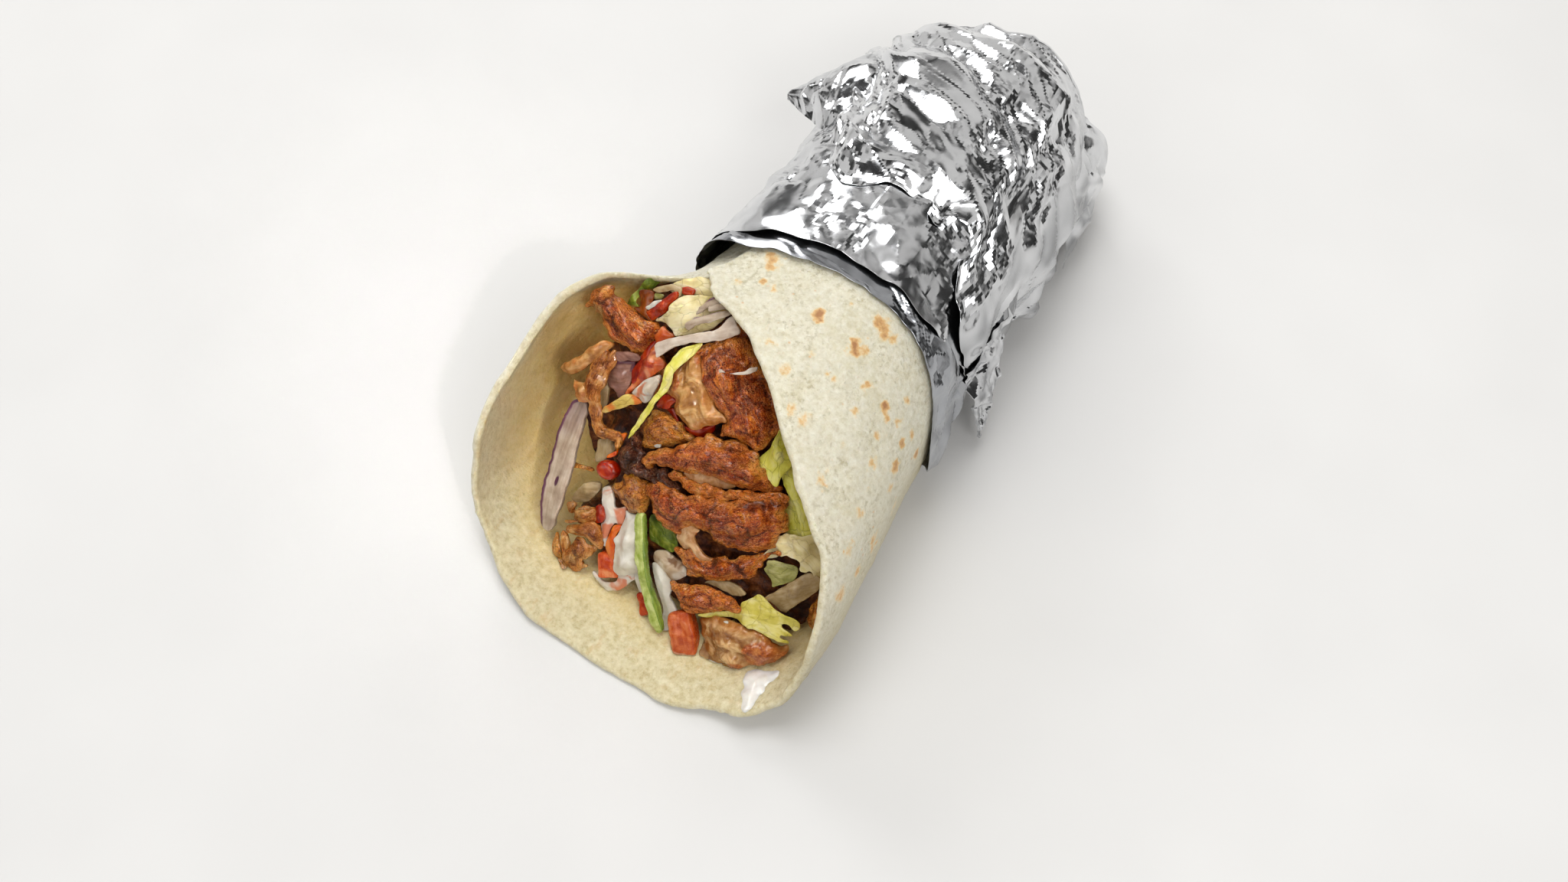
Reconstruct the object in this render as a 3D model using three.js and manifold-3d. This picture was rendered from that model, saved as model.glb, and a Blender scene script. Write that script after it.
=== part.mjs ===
// A gyro wrap lying on its side: a rolled flour tortilla, open at the mouth, wrapped in kitchen foil
// from its middle to its tail, with roast meat and salad heaped in the mouth. Millimetres, +Z up.
// The roll's axis runs along +Y, from the mouth to the tail. The origin is the centre of the base.
import * as THREE from "three";
import { mergeVertices } from "three/addons/utils/BufferGeometryUtils.js";
import Module from "manifold-3d";

const wasm = await Module();
wasm.setup();

// --- Driving dimensions ------------------------------------------------------------------------

const SHEET = 2.0; // thickness of the tortilla
const LAYER_GAP = 0.6; // air between its two layers where the roll overlaps
const FIT_GAP = 0.35; // clearance between pieces that touch
const FOIL_GAP = 0.7; // air between the tortilla and the foil
const FOIL_INNER = 0.8; // wall of the foil's inner layer, which shows as a collar
const FOIL_OUTER = 2.2; // wall of all its layers, with the air between them
const ROLL_START = -40; // the inner end of the roll, in degrees from the top, under the outer flap
const ROLL_END = 389; // the outer end of the roll, past the top on the left
const CENTRE = { x: 7, y: -23.5 }; // moves the roll's own frame to the centre of the base

// The roll's outline at stations along its axis: its left side, right side and top.
const OUTLINE = [
  { at: -78, left: -51, right: 41, top: 56 },
  { at: -55, left: -55.5, right: 42, top: 60 },
  { at: -35, left: -57.5, right: 42, top: 62 },
  { at: -20, left: -56.5, right: 41, top: 65.5 },
  { at: -9, left: -51, right: 40, top: 66 },
  { at: -3, left: -41, right: 39.5, top: 65 },
  { at: 4, left: -34.5, right: 39, top: 64 },
  { at: 14, left: -31, right: 37.5, top: 63 },
  { at: 45, left: -26.5, right: 36, top: 60 },
  { at: 80, left: -27, right: 35, top: 54 },
  { at: 104, left: -24, right: 29, top: 45 },
  { at: 116, left: -17, right: 22, top: 38 },
];
const NECK = 16; // where the roll is narrowest behind its flared mouth
const TAIL = 116; // where the folded end of the tortilla lies
const FOIL_TAIL = 123; // where the foil's folded end lies

// The mouth's rim: how far along the axis it lies, at each angle round the roll.
const RIM = [
  { at: -40, y: 16 },
  { at: 10, y: 8 },
  { at: 30, y: 2 },
  { at: 46, y: -3 },
  { at: 58, y: -8 },
  { at: 67, y: -17 },
  { at: 78, y: -36 },
  { at: 90, y: -53 },
  { at: 126, y: -64 },
  { at: 160, y: -73 },
  { at: 185, y: -76 },
  { at: 214, y: -73 },
  { at: 250, y: -66 },
  { at: 275, y: -57 },
  { at: 297, y: -47 },
  { at: 332, y: -29 },
  { at: 358, y: -11 },
  { at: 375, y: -4 },
  { at: 389, y: 1 },
];

// The front edges of the foil's inner and outer layers.
const COLLAR = [
  { at: 0, inner: 13.5, outer: 18 },
  { at: 15, inner: 12.5, outer: 17.5 },
  { at: 40, inner: 10, outer: 15 },
  { at: 90, inner: 13, outer: 19 },
  { at: 180, inner: 15, outer: 21 },
  { at: 225, inner: 10, outer: 23 },
  { at: 255, inner: 1.5, outer: 22.5 },
  { at: 272, inner: 0, outer: 21 },
  { at: 290, inner: 4, outer: 17.5 },
  { at: 305, inner: 8, outer: 16.5 },
  { at: 320, inner: 11, outer: 16 },
  { at: 340, inner: 13, outer: 17 },
  { at: 360, inner: 13.5, outer: 18 },
];

// --- Small helpers -----------------------------------------------------------------------------

const clamp = (x, low = 0, high = 1) => Math.min(high, Math.max(low, x));
const mix = (a, b, t) => a + (b - a) * t;
const radians = THREE.MathUtils.degToRad;

function smooth(from, to, x) {
  const t = clamp((x - from) / (to - from));
  return t * t * (3 - 2 * t);
}

// A cubic through a table's values, whose slope at each entry comes from that entry's neighbours.
function follow(table, at, key) {
  let i = 0;
  while (i < table.length - 2 && at > table[i + 1].at) i++;
  const [p, q] = [table[i], table[i + 1]];
  const slope = (a, b) => (b[key] - a[key]) / (b.at - a.at);
  const startSlope = slope(table[i - 1] ?? p, q);
  const endSlope = slope(p, table[i + 2] ?? q);
  const h = q.at - p.at;
  const t = clamp((at - p.at) / h);
  const rise = q[key] - p[key];
  const early = h * startSlope - rise;
  const late = rise - h * endSlope;
  return mix(p[key], q[key], t) + t * (1 - t) * (early * (1 - t) + late * t);
}

// Even noise from 0 to 1 that is always the same for the same place and seed.
function noise(x, y, seed) {
  const corner = (i, j) => {
    const s = Math.sin(i * 127.1 + j * 311.7 + seed * 74.7) * 43758.5453;
    return s - Math.floor(s);
  };
  const [i, j] = [Math.floor(x), Math.floor(y)];
  const [u, v] = [smooth(0, 1, x - i), smooth(0, 1, y - j)];
  return mix(mix(corner(i, j), corner(i + 1, j), u), mix(corner(i, j + 1), corner(i + 1, j + 1), u), v);
}

// A manifold solid from a geometry whose shared vertices may be doubled, with its faces turned outwards.
function solidOf(geometry) {
  const bare = geometry.clone();
  bare.deleteAttribute("normal");
  bare.deleteAttribute("uv");
  const merged = mergeVertices(bare, 1e-4);
  const vertProperties = merged.attributes.position.array;
  const triVerts = new Uint32Array(merged.index.array);
  const make = () => new wasm.Manifold(new wasm.Mesh({ numProp: 3, vertProperties, triVerts }));
  const made = make();
  if (made.volume() > 0) return made;
  for (let i = 0; i < triVerts.length; i += 3) {
    [triVerts[i], triVerts[i + 1]] = [triVerts[i + 1], triVerts[i]];
  }
  return make();
}

function geometryOf(solid) {
  const { vertProperties, triVerts } = solid.getMesh();
  const geometry = new THREE.BufferGeometry();
  geometry.setAttribute("position", new THREE.BufferAttribute(vertProperties, 3));
  geometry.setIndex(new THREE.BufferAttribute(triVerts, 1));
  geometry.computeVertexNormals();
  return geometry;
}

const largest = (solid) => solid.decompose().sort((a, b) => b.volume() - a.volume())[0];

// Rings of points, each with the same count, joined into one closed skin. A closed row of rings comes
// back to the first ring, and an open one ends in caps round the first and last rings' middles.
function skinOfRings(rings, closedRow) {
  const count = rings[0].length;
  const points = rings.flat();
  const faces = [];
  const rows = closedRow ? rings.length : rings.length - 1;
  for (let r = 0; r < rows; r++) {
    const next = (r + 1) % rings.length;
    for (let k = 0; k < count; k++) {
      const l = (k + 1) % count;
      const [a, b, c, d] = [r * count + k, r * count + l, next * count + l, next * count + k];
      faces.push(a, b, c, a, c, d);
    }
  }
  if (!closedRow) {
    for (const [r, flip] of [[0, false], [rings.length - 1, true]]) {
      const middle = rings[r].reduce((sum, p) => sum.add(p), new THREE.Vector3()).divideScalar(count);
      points.push(middle);
      for (let k = 0; k < count; k++) {
        const [a, b] = [r * count + k, r * count + ((k + 1) % count)];
        faces.push(points.length - 1, ...(flip ? [a, b] : [b, a]));
      }
    }
  }
  const geometry = new THREE.BufferGeometry().setFromPoints(points);
  geometry.setIndex(faces);
  return geometry;
}

// --- The roll ----------------------------------------------------------------------------------

// A point of the roll's outline at an angle from the top, turning left, and sunk below it by a depth.
// The lower half is boxy where it lies flat, and so is the upper left of the mouth, where it flares.
const FLAT_BASE = 0.6;
const ROUND_TOP = 0.85;
const FLARED_TOP = 0.52;
function rollPoint(angle, y, depth) {
  const left = follow(OUTLINE, y, "left");
  const right = follow(OUTLINE, y, "right");
  const top = follow(OUTLINE, y, "top");
  const [sine, cosine] = [Math.sin(radians(angle)), Math.cos(radians(angle))];
  const flare = smooth(20, -10, y) * smooth(0, 1, sine);
  const power = cosine < 0 ? FLAT_BASE : mix(ROUND_TOP, FLARED_TOP, flare);
  const across = Math.sign(sine) * Math.abs(sine) ** power;
  const up = Math.sign(cosine) * Math.abs(cosine) ** power;
  const underFoil = (FOIL_INNER + FOIL_GAP) * smooth(2, 14, y);
  const halfHeight = (top - underFoil) / 2;
  return new THREE.Vector3(
    (left + right) / 2 - ((right - left) / 2 - depth) * across,
    y,
    underFoil + halfHeight + (halfHeight - depth) * up,
  );
}

// How far the inner end of the roll is sunk, so that the outer flap can pass over it.
const innerLayer = (angle) => (SHEET + LAYER_GAP) * smooth(115, 45, angle);

// The tortilla: a sheet that starts under the top, goes down the left, along the base and up the right,
// and ends in a flap over its own start. A grown one is thicker by that much all round.
function tortilla(grow = 0) {
  const stepsRound = 46;
  const mouthSteps = 6;
  const sleeveSteps = 5;
  const endTurn = 2 * grow; // degrees that reach at least as far past each end as the growth
  const rings = [];
  for (let i = 0; i <= stepsRound; i++) {
    const angle = mix(ROLL_START - endTurn, ROLL_END + endTurn, i / stepsRound);
    const rim = follow(RIM, angle, "y") - grow;
    const sunk = innerLayer(angle);
    const rows = Array.from({ length: mouthSteps + sleeveSteps + 1 }, (_, k) =>
      k < mouthSteps
        ? mix(rim, NECK, k / mouthSteps)
        : mix(NECK, TAIL + grow, (k - mouthSteps) / sleeveSteps),
    );
    const inside = rows.map((y) => rollPoint(angle, y, sunk + SHEET + grow));
    const outside = rows.map((y) => rollPoint(angle, y, sunk - grow));
    rings.push([...inside, ...outside.reverse()]);
  }
  return solidOf(skinOfStrip(rings));
}

// Rings that are long thin loops, capped by strips between their two long sides.
function skinOfStrip(rings) {
  const count = rings[0].length;
  const half = count / 2;
  const faces = [];
  for (let r = 0; r < rings.length - 1; r++) {
    for (let k = 0; k < count; k++) {
      const l = (k + 1) % count;
      const [a, b, c, d] = [r * count + k, r * count + l, (r + 1) * count + l, (r + 1) * count + k];
      faces.push(a, c, b, a, d, c);
    }
  }
  for (const [r, flip] of [[0, false], [rings.length - 1, true]]) {
    for (let k = 0; k < half - 1; k++) {
      const [a, b] = [r * count + k, r * count + k + 1];
      const [c, d] = [r * count + count - 2 - k, r * count + count - 1 - k];
      faces.push(...(flip ? [a, c, b, a, d, c] : [a, b, c, a, c, d]));
    }
  }
  const geometry = new THREE.BufferGeometry().setFromPoints(rings.flat());
  geometry.setIndex(faces);
  return geometry;
}

// The foil: a sleeve with a collar of one layer at its front, crumpled layers behind it, and a closed
// tail. It lies flat on its underside. A folded corner stands out on its left and a torn strip on its
// right, and the roll's own space is cut out of it.
function foil() {
  const ring = (at) => Array.from({ length: 40 }, (_, k) => at(9 * k));
  const wall = (angle, y) => {
    const behindStep = y - follow(COLLAR, angle, "outer");
    const crumple = 2.4 * noise(angle / 24, y / 9, 3) * smooth(0, 60, behindStep);
    return behindStep < -0.1 ? FOIL_INNER : FOIL_OUTER + crumple;
  };
  const skin = (angle, y) => {
    const p = rollPoint(angle, y, -FOIL_GAP - wall(angle, y));
    return p.setZ(Math.max(p.z, 0));
  };
  const between = (share, from, to) => ring((angle) => skin(angle, mix(from(angle), to(angle), share)));
  const front = (angle) => follow(COLLAR, angle, "inner");
  const step = (angle) => follow(COLLAR, angle, "outer");
  const rings = [
    ...[0, 0.96].map((share) => between(share, front, step)),
    ...[0, 0.06, 0.14, 0.25, 0.4, 0.6, 0.8, 0.93, 1].map((share) => between(share, step, () => TAIL)),
  ];
  const last = rings[rings.length - 1];
  const middle = last.reduce((sum, p) => sum.add(p), new THREE.Vector3()).divideScalar(last.length);
  for (const [y, share] of [[mix(TAIL, FOIL_TAIL, 0.6), 0.8], [FOIL_TAIL, 0.4]]) {
    rings.push(last.map((p) => new THREE.Vector3().lerpVectors(middle, p, share).setY(y)));
  }
  const space = [-8, -2, 4, 10, 16, 24, 45, 64, 80, 93, 104, TAIL + FIT_GAP].map((y) =>
    ring((angle) => rollPoint(angle, y, -FOIL_GAP)),
  );
  return solidOf(skinOfRings(rings, false))
    .add(flake([-24, 60, 42], [-24, 84, 36], [-37.5, 68.5, 43], [-24, 68, 47]))
    .add(flake([36, 20, 26], [34, 34, 20], [43, 21, 3.5], [38, 27, 26]))
    .subtract(solidOf(skinOfRings(space, false)));
}

// A thin corner of foil: a pyramid on three points, with its tip at the third of the four.
function flake(...corners) {
  const geometry = new THREE.BufferGeometry().setFromPoints(corners.map((p) => new THREE.Vector3(...p)));
  geometry.setIndex([0, 1, 2, 0, 2, 3, 1, 3, 2, 0, 3, 1]);
  return solidOf(geometry);
}

// --- The heap in the mouth ---------------------------------------------------------------------

// The heap's front slopes up from the lip. Its own frame has X across, Y up the slope and Z out of it.
const SLOPE = 44;
const slopeFrame = new THREE.Matrix4()
  .makeRotationX(radians(SLOPE))
  .setPosition(1.5, -32, 26);

const SQUARENESS = 0.8; // how boxy a piece's section is: 1 is an ellipse, 0 a box

// A piece of food: a bar along a smooth line, with a rounded, lumpy section. Its width and thickness
// follow the line, and roll turns its flat side about the line. A grown one is larger all round.
function bar(piece, seed, grow = 0) {
  const { path, wide, thick, roll = 0, lump = 0.14, blunt = 5, sides = 7, steps = 5 } = piece;
  const line = new THREE.CatmullRomCurve3(path.map((p) => new THREE.Vector3(...p)));
  const sized = (size, t) => {
    const list = [].concat(size);
    const place = t * (list.length - 1);
    const i = Math.min(Math.floor(place), list.length - 2);
    return list.length === 1 ? list[0] : mix(list[i], list[i + 1], place - i);
  };
  const rings = [];
  for (let s = 0; s <= steps; s++) {
    const t = s / steps;
    const along = line.getTangent(t);
    const flat = new THREE.Vector3(0, 0, 1).cross(along).normalize();
    flat.applyAxisAngle(along, radians([].concat(roll).length > 1 ? mix(roll[0], roll[1], t) : roll));
    const out = along.clone().cross(flat);
    const taper = (1 - Math.abs(2 * t - 1) ** blunt * 0.72) ** 0.8;
    const centre = line.getPoint(t).addScaledVector(along, (2 * t - 1) * grow);
    rings.push(
      Array.from({ length: sides }, (_, k) => {
        const turn = (2 * Math.PI * (k + 0.5)) / sides;
        const uneven = 1 + lump * (2 * noise(k * 1.3, s * 0.9, seed) - 1);
        const [c, d] = [Math.cos(turn), Math.sin(turn)];
        const reach = (size) => (sized(size, t) / 2) * taper * uneven + grow;
        return centre
          .clone()
          .addScaledVector(flat, Math.sign(c) * Math.abs(c) ** SQUARENESS * reach(wide))
          .addScaledVector(out, Math.sign(d) * Math.abs(d) ** SQUARENESS * reach(thick));
      }),
    );
  }
  return solidOf(skinOfRings(rings, false).applyMatrix4(slopeFrame));
}

// The pieces, topmost first. Each centre line is in the heap's own frame.
const leaf = { thick: 0.9, lump: 0.1, blunt: 9 };
const HEAP = [
  {
    name: "onion_curl", food: "onion",
    path: [[-12, 25, 10.6], [-6, 27, 11.8], [-1, 31, 10.4]],
    wide: [1.2, 2, 1.4], thick: 0.9,
  },
  {
    name: "lettuce_strip", food: "lettuce", ...leaf,
    path: [[-16, 31, 9.5], [-20.5, 20, 9], [-22.6, 9, 8], [-25, 0, 6]],
    wide: [4.4, 4.6, 3.6, 1.4], roll: [14, -10],
  },
  {
    name: "onion_slice_top", food: "onion",
    path: [[-27, 24, 7.6], [-18, 31, 8.4], [-8, 39, 6]],
    wide: [3.6, 4.6, 5], thick: 1.7, roll: [-20, 10],
  },
  {
    name: "cucumber_stick", food: "cucumber",
    path: [[-15, -13, 5], [-8.5, -26, 6.6], [0, -38.6, 4.4]],
    wide: [2.6, 3, 3], thick: 2.2, lump: 0.04, blunt: 12,
  },
  {
    name: "meat_slab_front", food: "meat",
    path: [[-1, -28, 5.6], [7, -26.4, 6.6], [15.5, -24, 5.6]],
    wide: [6.4, 7, 4], thick: 3.2, roll: -6,
  },
  {
    name: "meat_slab_lower", food: "meat",
    path: [[-5, -18, 4.6], [6, -19.5, 6], [19, -11, 4.4]],
    wide: [4.6, 6.4, 4.4], thick: 3.6, roll: [-16, 8],
  },
  {
    name: "meat_slab_middle", food: "meat",
    path: [[-16, -8, 6.4], [2, -7.4, 8.6], [20, -3, 5.6]],
    wide: [8, 12.4, 9.6], thick: [4.4, 6.4, 4.6], roll: [-10, 8],
  },
  {
    name: "meat_slab_upper", food: "meat",
    path: [[-20, -2, 5.6], [-7, 5, 8], [8, 13, 5.6]],
    wide: [5, 9.4, 8], thick: [3.4, 5.2, 4.4], roll: [-12, 10],
  },
  {
    name: "meat_chunk_large", food: "meat",
    path: [[-14, 30, 5], [-4, 24.6, 7.4], [8, 16, 5.4]],
    wide: [12, 16, 11], thick: [7, 9.4, 6.4], roll: [-6, 8],
  },
  {
    name: "meat_chunk_pale", food: "meat",
    path: [[-16, 25, 3.6], [-16, 18, 4.8], [-13, 11, 2.6]],
    wide: [7, 9, 7], thick: 6.4,
  },
  { name: "meat_nub_golden", food: "meat", path: [[-22, 3.4, 3.2], [-12, 9, 3.4]], wide: 7, thick: 5.4 },
  {
    name: "meat_nub_lower", food: "meat",
    path: [[-29, -8, 4.4], [-21, -11, 5.6], [-13, -13.4, 4]],
    wide: [6, 8.4, 6], thick: 5.6,
  },
  {
    name: "meat_bark_dark", food: "meat",
    path: [[-27, 0.4, 2], [-17, -2.6, 2.8], [-8, -4, 1.6]],
    wide: [5, 7, 6], thick: 5,
  },
  {
    name: "meat_top_left", food: "meat",
    path: [[-46, 29.6, 3.4], [-38, 27, 4.8], [-28, 23.6, 2]],
    wide: [8.6, 7, 9.4], thick: [4.4, 5, 5], roll: [-24, 6],
  },
  {
    name: "meat_pale_end", food: "meat",
    path: [[-48.4, 8.6, 5], [-43, 14.4, 5.8], [-36.6, 19.4, 4]],
    wide: [4.8, 4.4, 5], thick: 3.4, roll: -20,
  },
  {
    name: "meat_arch", food: "meat",
    path: [[-42.6, 11.4, 3.6], [-41, 5, 5], [-36.4, 0, 4], [-28, -1, 1.6]],
    wide: [5, 3.6, 3.6, 4], thick: 3,
  },
  {
    name: "lettuce_fringed", food: "lettuce", ...leaf,
    path: [[5, -29.6, 3.4], [18, -26, 5], [32.6, -23.6, 6.4]],
    wide: [4, 6.4, 5], roll: [10, -14],
  },
  {
    name: "lettuce_folded_leaf", food: "lettuce", ...leaf,
    path: [[6, 8, 5.4], [9.4, 14, 6.8], [13, 21, 4.6]],
    wide: [5, 9.4, 9], roll: [20, -14],
  },
  {
    name: "lettuce_right_strip", food: "lettuce", ...leaf,
    path: [[14, 14, 2.6], [20, 6.4, 4.4], [26, -0.6, 3]],
    wide: [6, 6.4, 4], roll: [-10, 24],
  },
  {
    name: "lettuce_pale_leaf", food: "lettuce", ...leaf,
    path: [[14, -5, 2.4], [23, -5.4, 4.6], [33, -7, 3]],
    wide: [7, 10, 9], roll: [-14, 16],
  },
  {
    name: "lettuce_green_square", food: "lettuce", ...leaf,
    path: [[17.6, -12.6, 2.8], [28, -10.4, 3.4]],
    wide: [7.4, 6.4], roll: [-8, 12],
  },
  {
    name: "onion_slice_right", food: "onion",
    path: [[20.6, -22.4, 1.8], [27, -14.6, 3.2], [34, -9, 2]],
    wide: [4.4, 6, 5], thick: 1.2, roll: [12, -12],
  },
  {
    name: "meat_sliver_right", food: "meat",
    path: [[32, -11.6, 1.2], [36, -22.6, 1]],
    wide: [4, 5], thick: 3,
  },
  {
    name: "meat_chunk_lip", food: "meat",
    path: [[10.4, -33.4, 3], [20, -32.4, 4.4], [31.6, -28.6, 2.6]],
    wide: [9, 12, 9], thick: [6, 8, 5.4],
  },
  {
    name: "tomato_block", food: "tomato",
    path: [[2.6, -31, 2.6], [6, -35.8, 3.4], [9, -40.4, 2]],
    wide: 6.6, thick: 5.6, lump: 0.06, blunt: 8,
  },
  {
    name: "onion_slice_left", food: "onion",
    path: [[-40.6, 5, 0.6], [-41.6, -8, 2], [-40.4, -19, 2], [-37.6, -31, 0.8]],
    wide: [3.6, 6.6, 6.8, 4.6], thick: 2.2, roll: [-26, -18], lump: 0.05,
  },
  {
    name: "meat_shred_left", food: "meat",
    path: [[-35, -26.6, 2], [-29, -24.6, 3.4], [-23.6, -26, 2]],
    wide: [5.6, 6.6, 5], thick: 4.4,
  },
  {
    name: "meat_shred_low", food: "meat",
    path: [[-31.6, -36, 1.6], [-28.6, -32, 3], [-26, -28.6, 1.8]],
    wide: [4, 4.8, 4], thick: 3.8,
  },
  {
    name: "tomato_sauced", food: "tomato",
    path: [[-24.4, -28.6, 2], [-20, -34.6, 1.8]],
    wide: 5.4, thick: 4.2, lump: 0.06, blunt: 8,
  },
  {
    name: "white_sauce", food: "sauce",
    path: [[-24, -12, 0.6], [-19.6, -18, 2.6], [-15.4, -26, 3.2], [-14.6, -34, 1.2]],
    wide: [5, 7, 8.6, 6], thick: [3, 4.6, 4.6, 3],
  },
  {
    name: "tomato_dice", food: "tomato",
    path: [[-8.6, -31.6, 1.2], [-4.6, -36.4, 1.2]],
    wide: 3.6, thick: 3.6, lump: 0.06, blunt: 8,
  },
  {
    name: "lettuce_dark_leaf", food: "lettuce", ...leaf,
    path: [[-13, -14.6, 1.8], [-3, -17, 2]],
    wide: [6.4, 7.6], roll: 14,
  },
  {
    name: "onion_petal", food: "onion",
    path: [[-38, 14.6, 0.4], [-33, 12, 1.8], [-28, 9, 0.6]],
    wide: [5.4, 7.6, 6], thick: 2.4,
  },
  {
    name: "lettuce_tip", food: "lettuce", ...leaf,
    path: [[-35, 3.4, 5.4], [-30, 8, 6], [-24.6, 12.4, 4.6]],
    wide: [1.2, 3.2, 3.4], roll: [10, -10],
  },
  {
    name: "tomato_strip_top", food: "tomato",
    path: [[-32.4, 30.6, 2.6], [-25.6, 38.6, 2.4]],
    wide: 3.8, thick: 3, lump: 0.06, blunt: 8,
  },
  {
    name: "onion_slice_back", food: "onion",
    path: [[-22, 36, 4], [-13.6, 43, 3]],
    wide: [2.2, 3], thick: 1.6, roll: 20,
  },
  {
    name: "lettuce_pale_top", food: "lettuce", ...leaf,
    path: [[-30, 29, 4], [-22, 36, 1.6], [-15, 44, 0.6]],
    wide: [4, 7.4, 6], roll: [-14, 6],
  },
  {
    name: "lettuce_top_green", food: "lettuce", ...leaf,
    path: [[-38, 31.4, 0.4], [-30, 41, 0.6]],
    wide: [5.6, 6.6], roll: 16,
  },
  { name: "meat_behind_flap", food: "meat", path: [[-14, 33, 1.4], [-2, 37, 2]], wide: [7, 8], thick: 5 },
  {
    name: "meat_under_chunk", food: "meat",
    path: [[-34, 21, -0.6], [-22, 14, 0.4]],
    wide: [8, 9], thick: 5.6,
  },
];

// The filling under the pieces fills the roll, out to the uneven slope in the mouth.
function filling(clearances) {
  const stepsRound = 24;
  const stations = [-66, -40, -10, 14, 50, 84, TAIL - 12];
  const twoLayers = (angle) => {
    const signed = angle > 180 ? angle - 360 : angle;
    return (SHEET + LAYER_GAP) * smooth(115, 45, signed) * smooth(ROLL_START - 16, ROLL_START - 6, signed);
  };
  const rings = stations.map((y) =>
    Array.from({ length: stepsRound }, (_, k) => {
      const angle = (360 * k) / stepsRound;
      return rollPoint(angle, y, SHEET + 2 * FIT_GAP + twoLayers(angle));
    }),
  );
  let solid = solidOf(skinOfRings(rings, false));
  const cutter = new THREE.BoxGeometry(140, 130, 60, 15, 14, 1).translate(0, 0, 30);
  const spots = cutter.attributes.position;
  for (let i = 0; i < spots.count; i++) {
    const [x, y] = [spots.getX(i), spots.getY(i)];
    if (spots.getZ(i) < 1) spots.setZ(i, heapHeight(x, y));
  }
  solid = solid.subtract(solidOf(cutter.applyMatrix4(slopeFrame)));
  return largest(clearances.reduce((left, other) => left.subtract(other), solid));
}

// How far the filling stands out of the slope: it bulges in the middle and falls away to the left wall.
function heapHeight(x, y) {
  const bulge = 2.4 * Math.exp(-(((x + 2) / 30) ** 2) - ((y + 2) / 30) ** 2);
  const hollow = 7 * smooth(-26, -52, x) + 3 * smooth(-30, -48, y);
  return bulge - hollow - 2.2 + 1.6 * (noise(x / 8, y / 8, 11) - 0.5);
}

// --- The whole wrap ----------------------------------------------------------------------------

const material = (color, roughness, metalness = 0) =>
  new THREE.MeshStandardMaterial({ color, roughness, metalness });
const MATERIALS = {
  tortilla: material(0xeadfbd, 0.8),
  foil: material(0xc9cacc, 0.25, 1),
  filling: material(0x6b3a1e, 0.6),
  meat: material(0x9a4f24, 0.45),
  onion: material(0xe2d5d2, 0.3),
  lettuce: material(0xc7cf62, 0.4),
  cucumber: material(0x8db857, 0.35),
  tomato: material(0xc9452c, 0.25),
  sauce: material(0xf3efe9, 0.3),
};

const wrap = new THREE.Group();
const roll = new THREE.Group();
roll.position.set(CENTRE.x, CENTRE.y, 0);
wrap.add(roll);

function place(name, solid, food) {
  const mesh = new THREE.Mesh(geometryOf(solid), MATERIALS[food]);
  mesh.name = name;
  roll.add(mesh);
}

place("tortilla", tortilla(), "tortilla");
place("foil", foil(), "foil");

// Each piece is cut back to its clearance from the tortilla and from every piece above it.
const grown = [tortilla(FIT_GAP)];
HEAP.forEach((piece, i) => {
  const cut = grown.reduce((left, other) => left.subtract(other), bar(piece, i + 1));
  place(piece.name, largest(cut), piece.food);
  grown.push(bar(piece, i + 1, FIT_GAP));
});
place("filling", filling(grown), "filling");

export default wrap;
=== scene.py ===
"""A gyro wrap lying on its side: a flour tortilla in kitchen foil, with roast meat and salad in its mouth.

Shapes are worked out in millimetres in the roll's own frame, whose Y axis runs from the mouth to the
tail, and are moved to the part's frame and turned into metres when their meshes are made.
"""

import math

import bpy
import numpy as np
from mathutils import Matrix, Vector
from mathutils.bvhtree import BVHTree


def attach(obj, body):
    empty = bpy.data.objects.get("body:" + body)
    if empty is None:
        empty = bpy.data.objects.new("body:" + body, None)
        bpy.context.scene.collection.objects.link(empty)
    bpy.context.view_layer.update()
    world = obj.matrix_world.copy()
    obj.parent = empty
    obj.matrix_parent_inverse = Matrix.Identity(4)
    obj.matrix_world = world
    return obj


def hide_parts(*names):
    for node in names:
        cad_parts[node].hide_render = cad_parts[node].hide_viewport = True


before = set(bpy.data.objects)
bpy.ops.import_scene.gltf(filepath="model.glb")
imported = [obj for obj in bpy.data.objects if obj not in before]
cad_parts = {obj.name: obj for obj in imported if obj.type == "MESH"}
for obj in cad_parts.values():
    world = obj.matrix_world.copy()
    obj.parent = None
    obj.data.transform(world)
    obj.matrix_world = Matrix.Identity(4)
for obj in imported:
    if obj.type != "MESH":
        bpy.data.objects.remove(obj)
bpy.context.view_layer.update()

MM = 0.001
SHIFT = np.array([7.0, -23.5, 0.0])  # from the roll's own frame to the part's

# --- The roll's driving dimensions, as in the part's source ------------------------------------

SHEET = 2.0  # thickness of the tortilla
LAYER_GAP = 0.6  # air between its two layers where the roll overlaps
FOIL_GAP = 0.7  # air between the tortilla and the foil
FOIL_INNER = 0.8  # how far the foil's collar stands out from there
ROLL_START = -40.0
ROLL_END = 389.0
TAIL = 116.0
FOIL_TAIL = 123.0
SLEEVE_END = 84.0  # where the sleeve ends under the flap
FLAP_CLOSES = 0.74  # the share of the flap's rows that lie round the roll; the rest close the tail
FLAT_BASE = 0.6
ROUND_TOP = 0.85
FLARED_TOP = 0.52

# Stations along the roll: place, left side, right side, top.
OUTLINE = [
    (-78, -51, 41, 56), (-55, -55.5, 42, 60), (-35, -57.5, 42, 62), (-20, -56.5, 41, 65.5),
    (-9, -51, 40, 66), (-3, -41, 39.5, 65), (4, -34.5, 39, 64), (14, -31, 37.5, 63), (45, -26.5, 36, 60),
    (80, -27, 35, 54), (104, -24, 29, 45), (116, -17, 22, 38),
]
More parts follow.
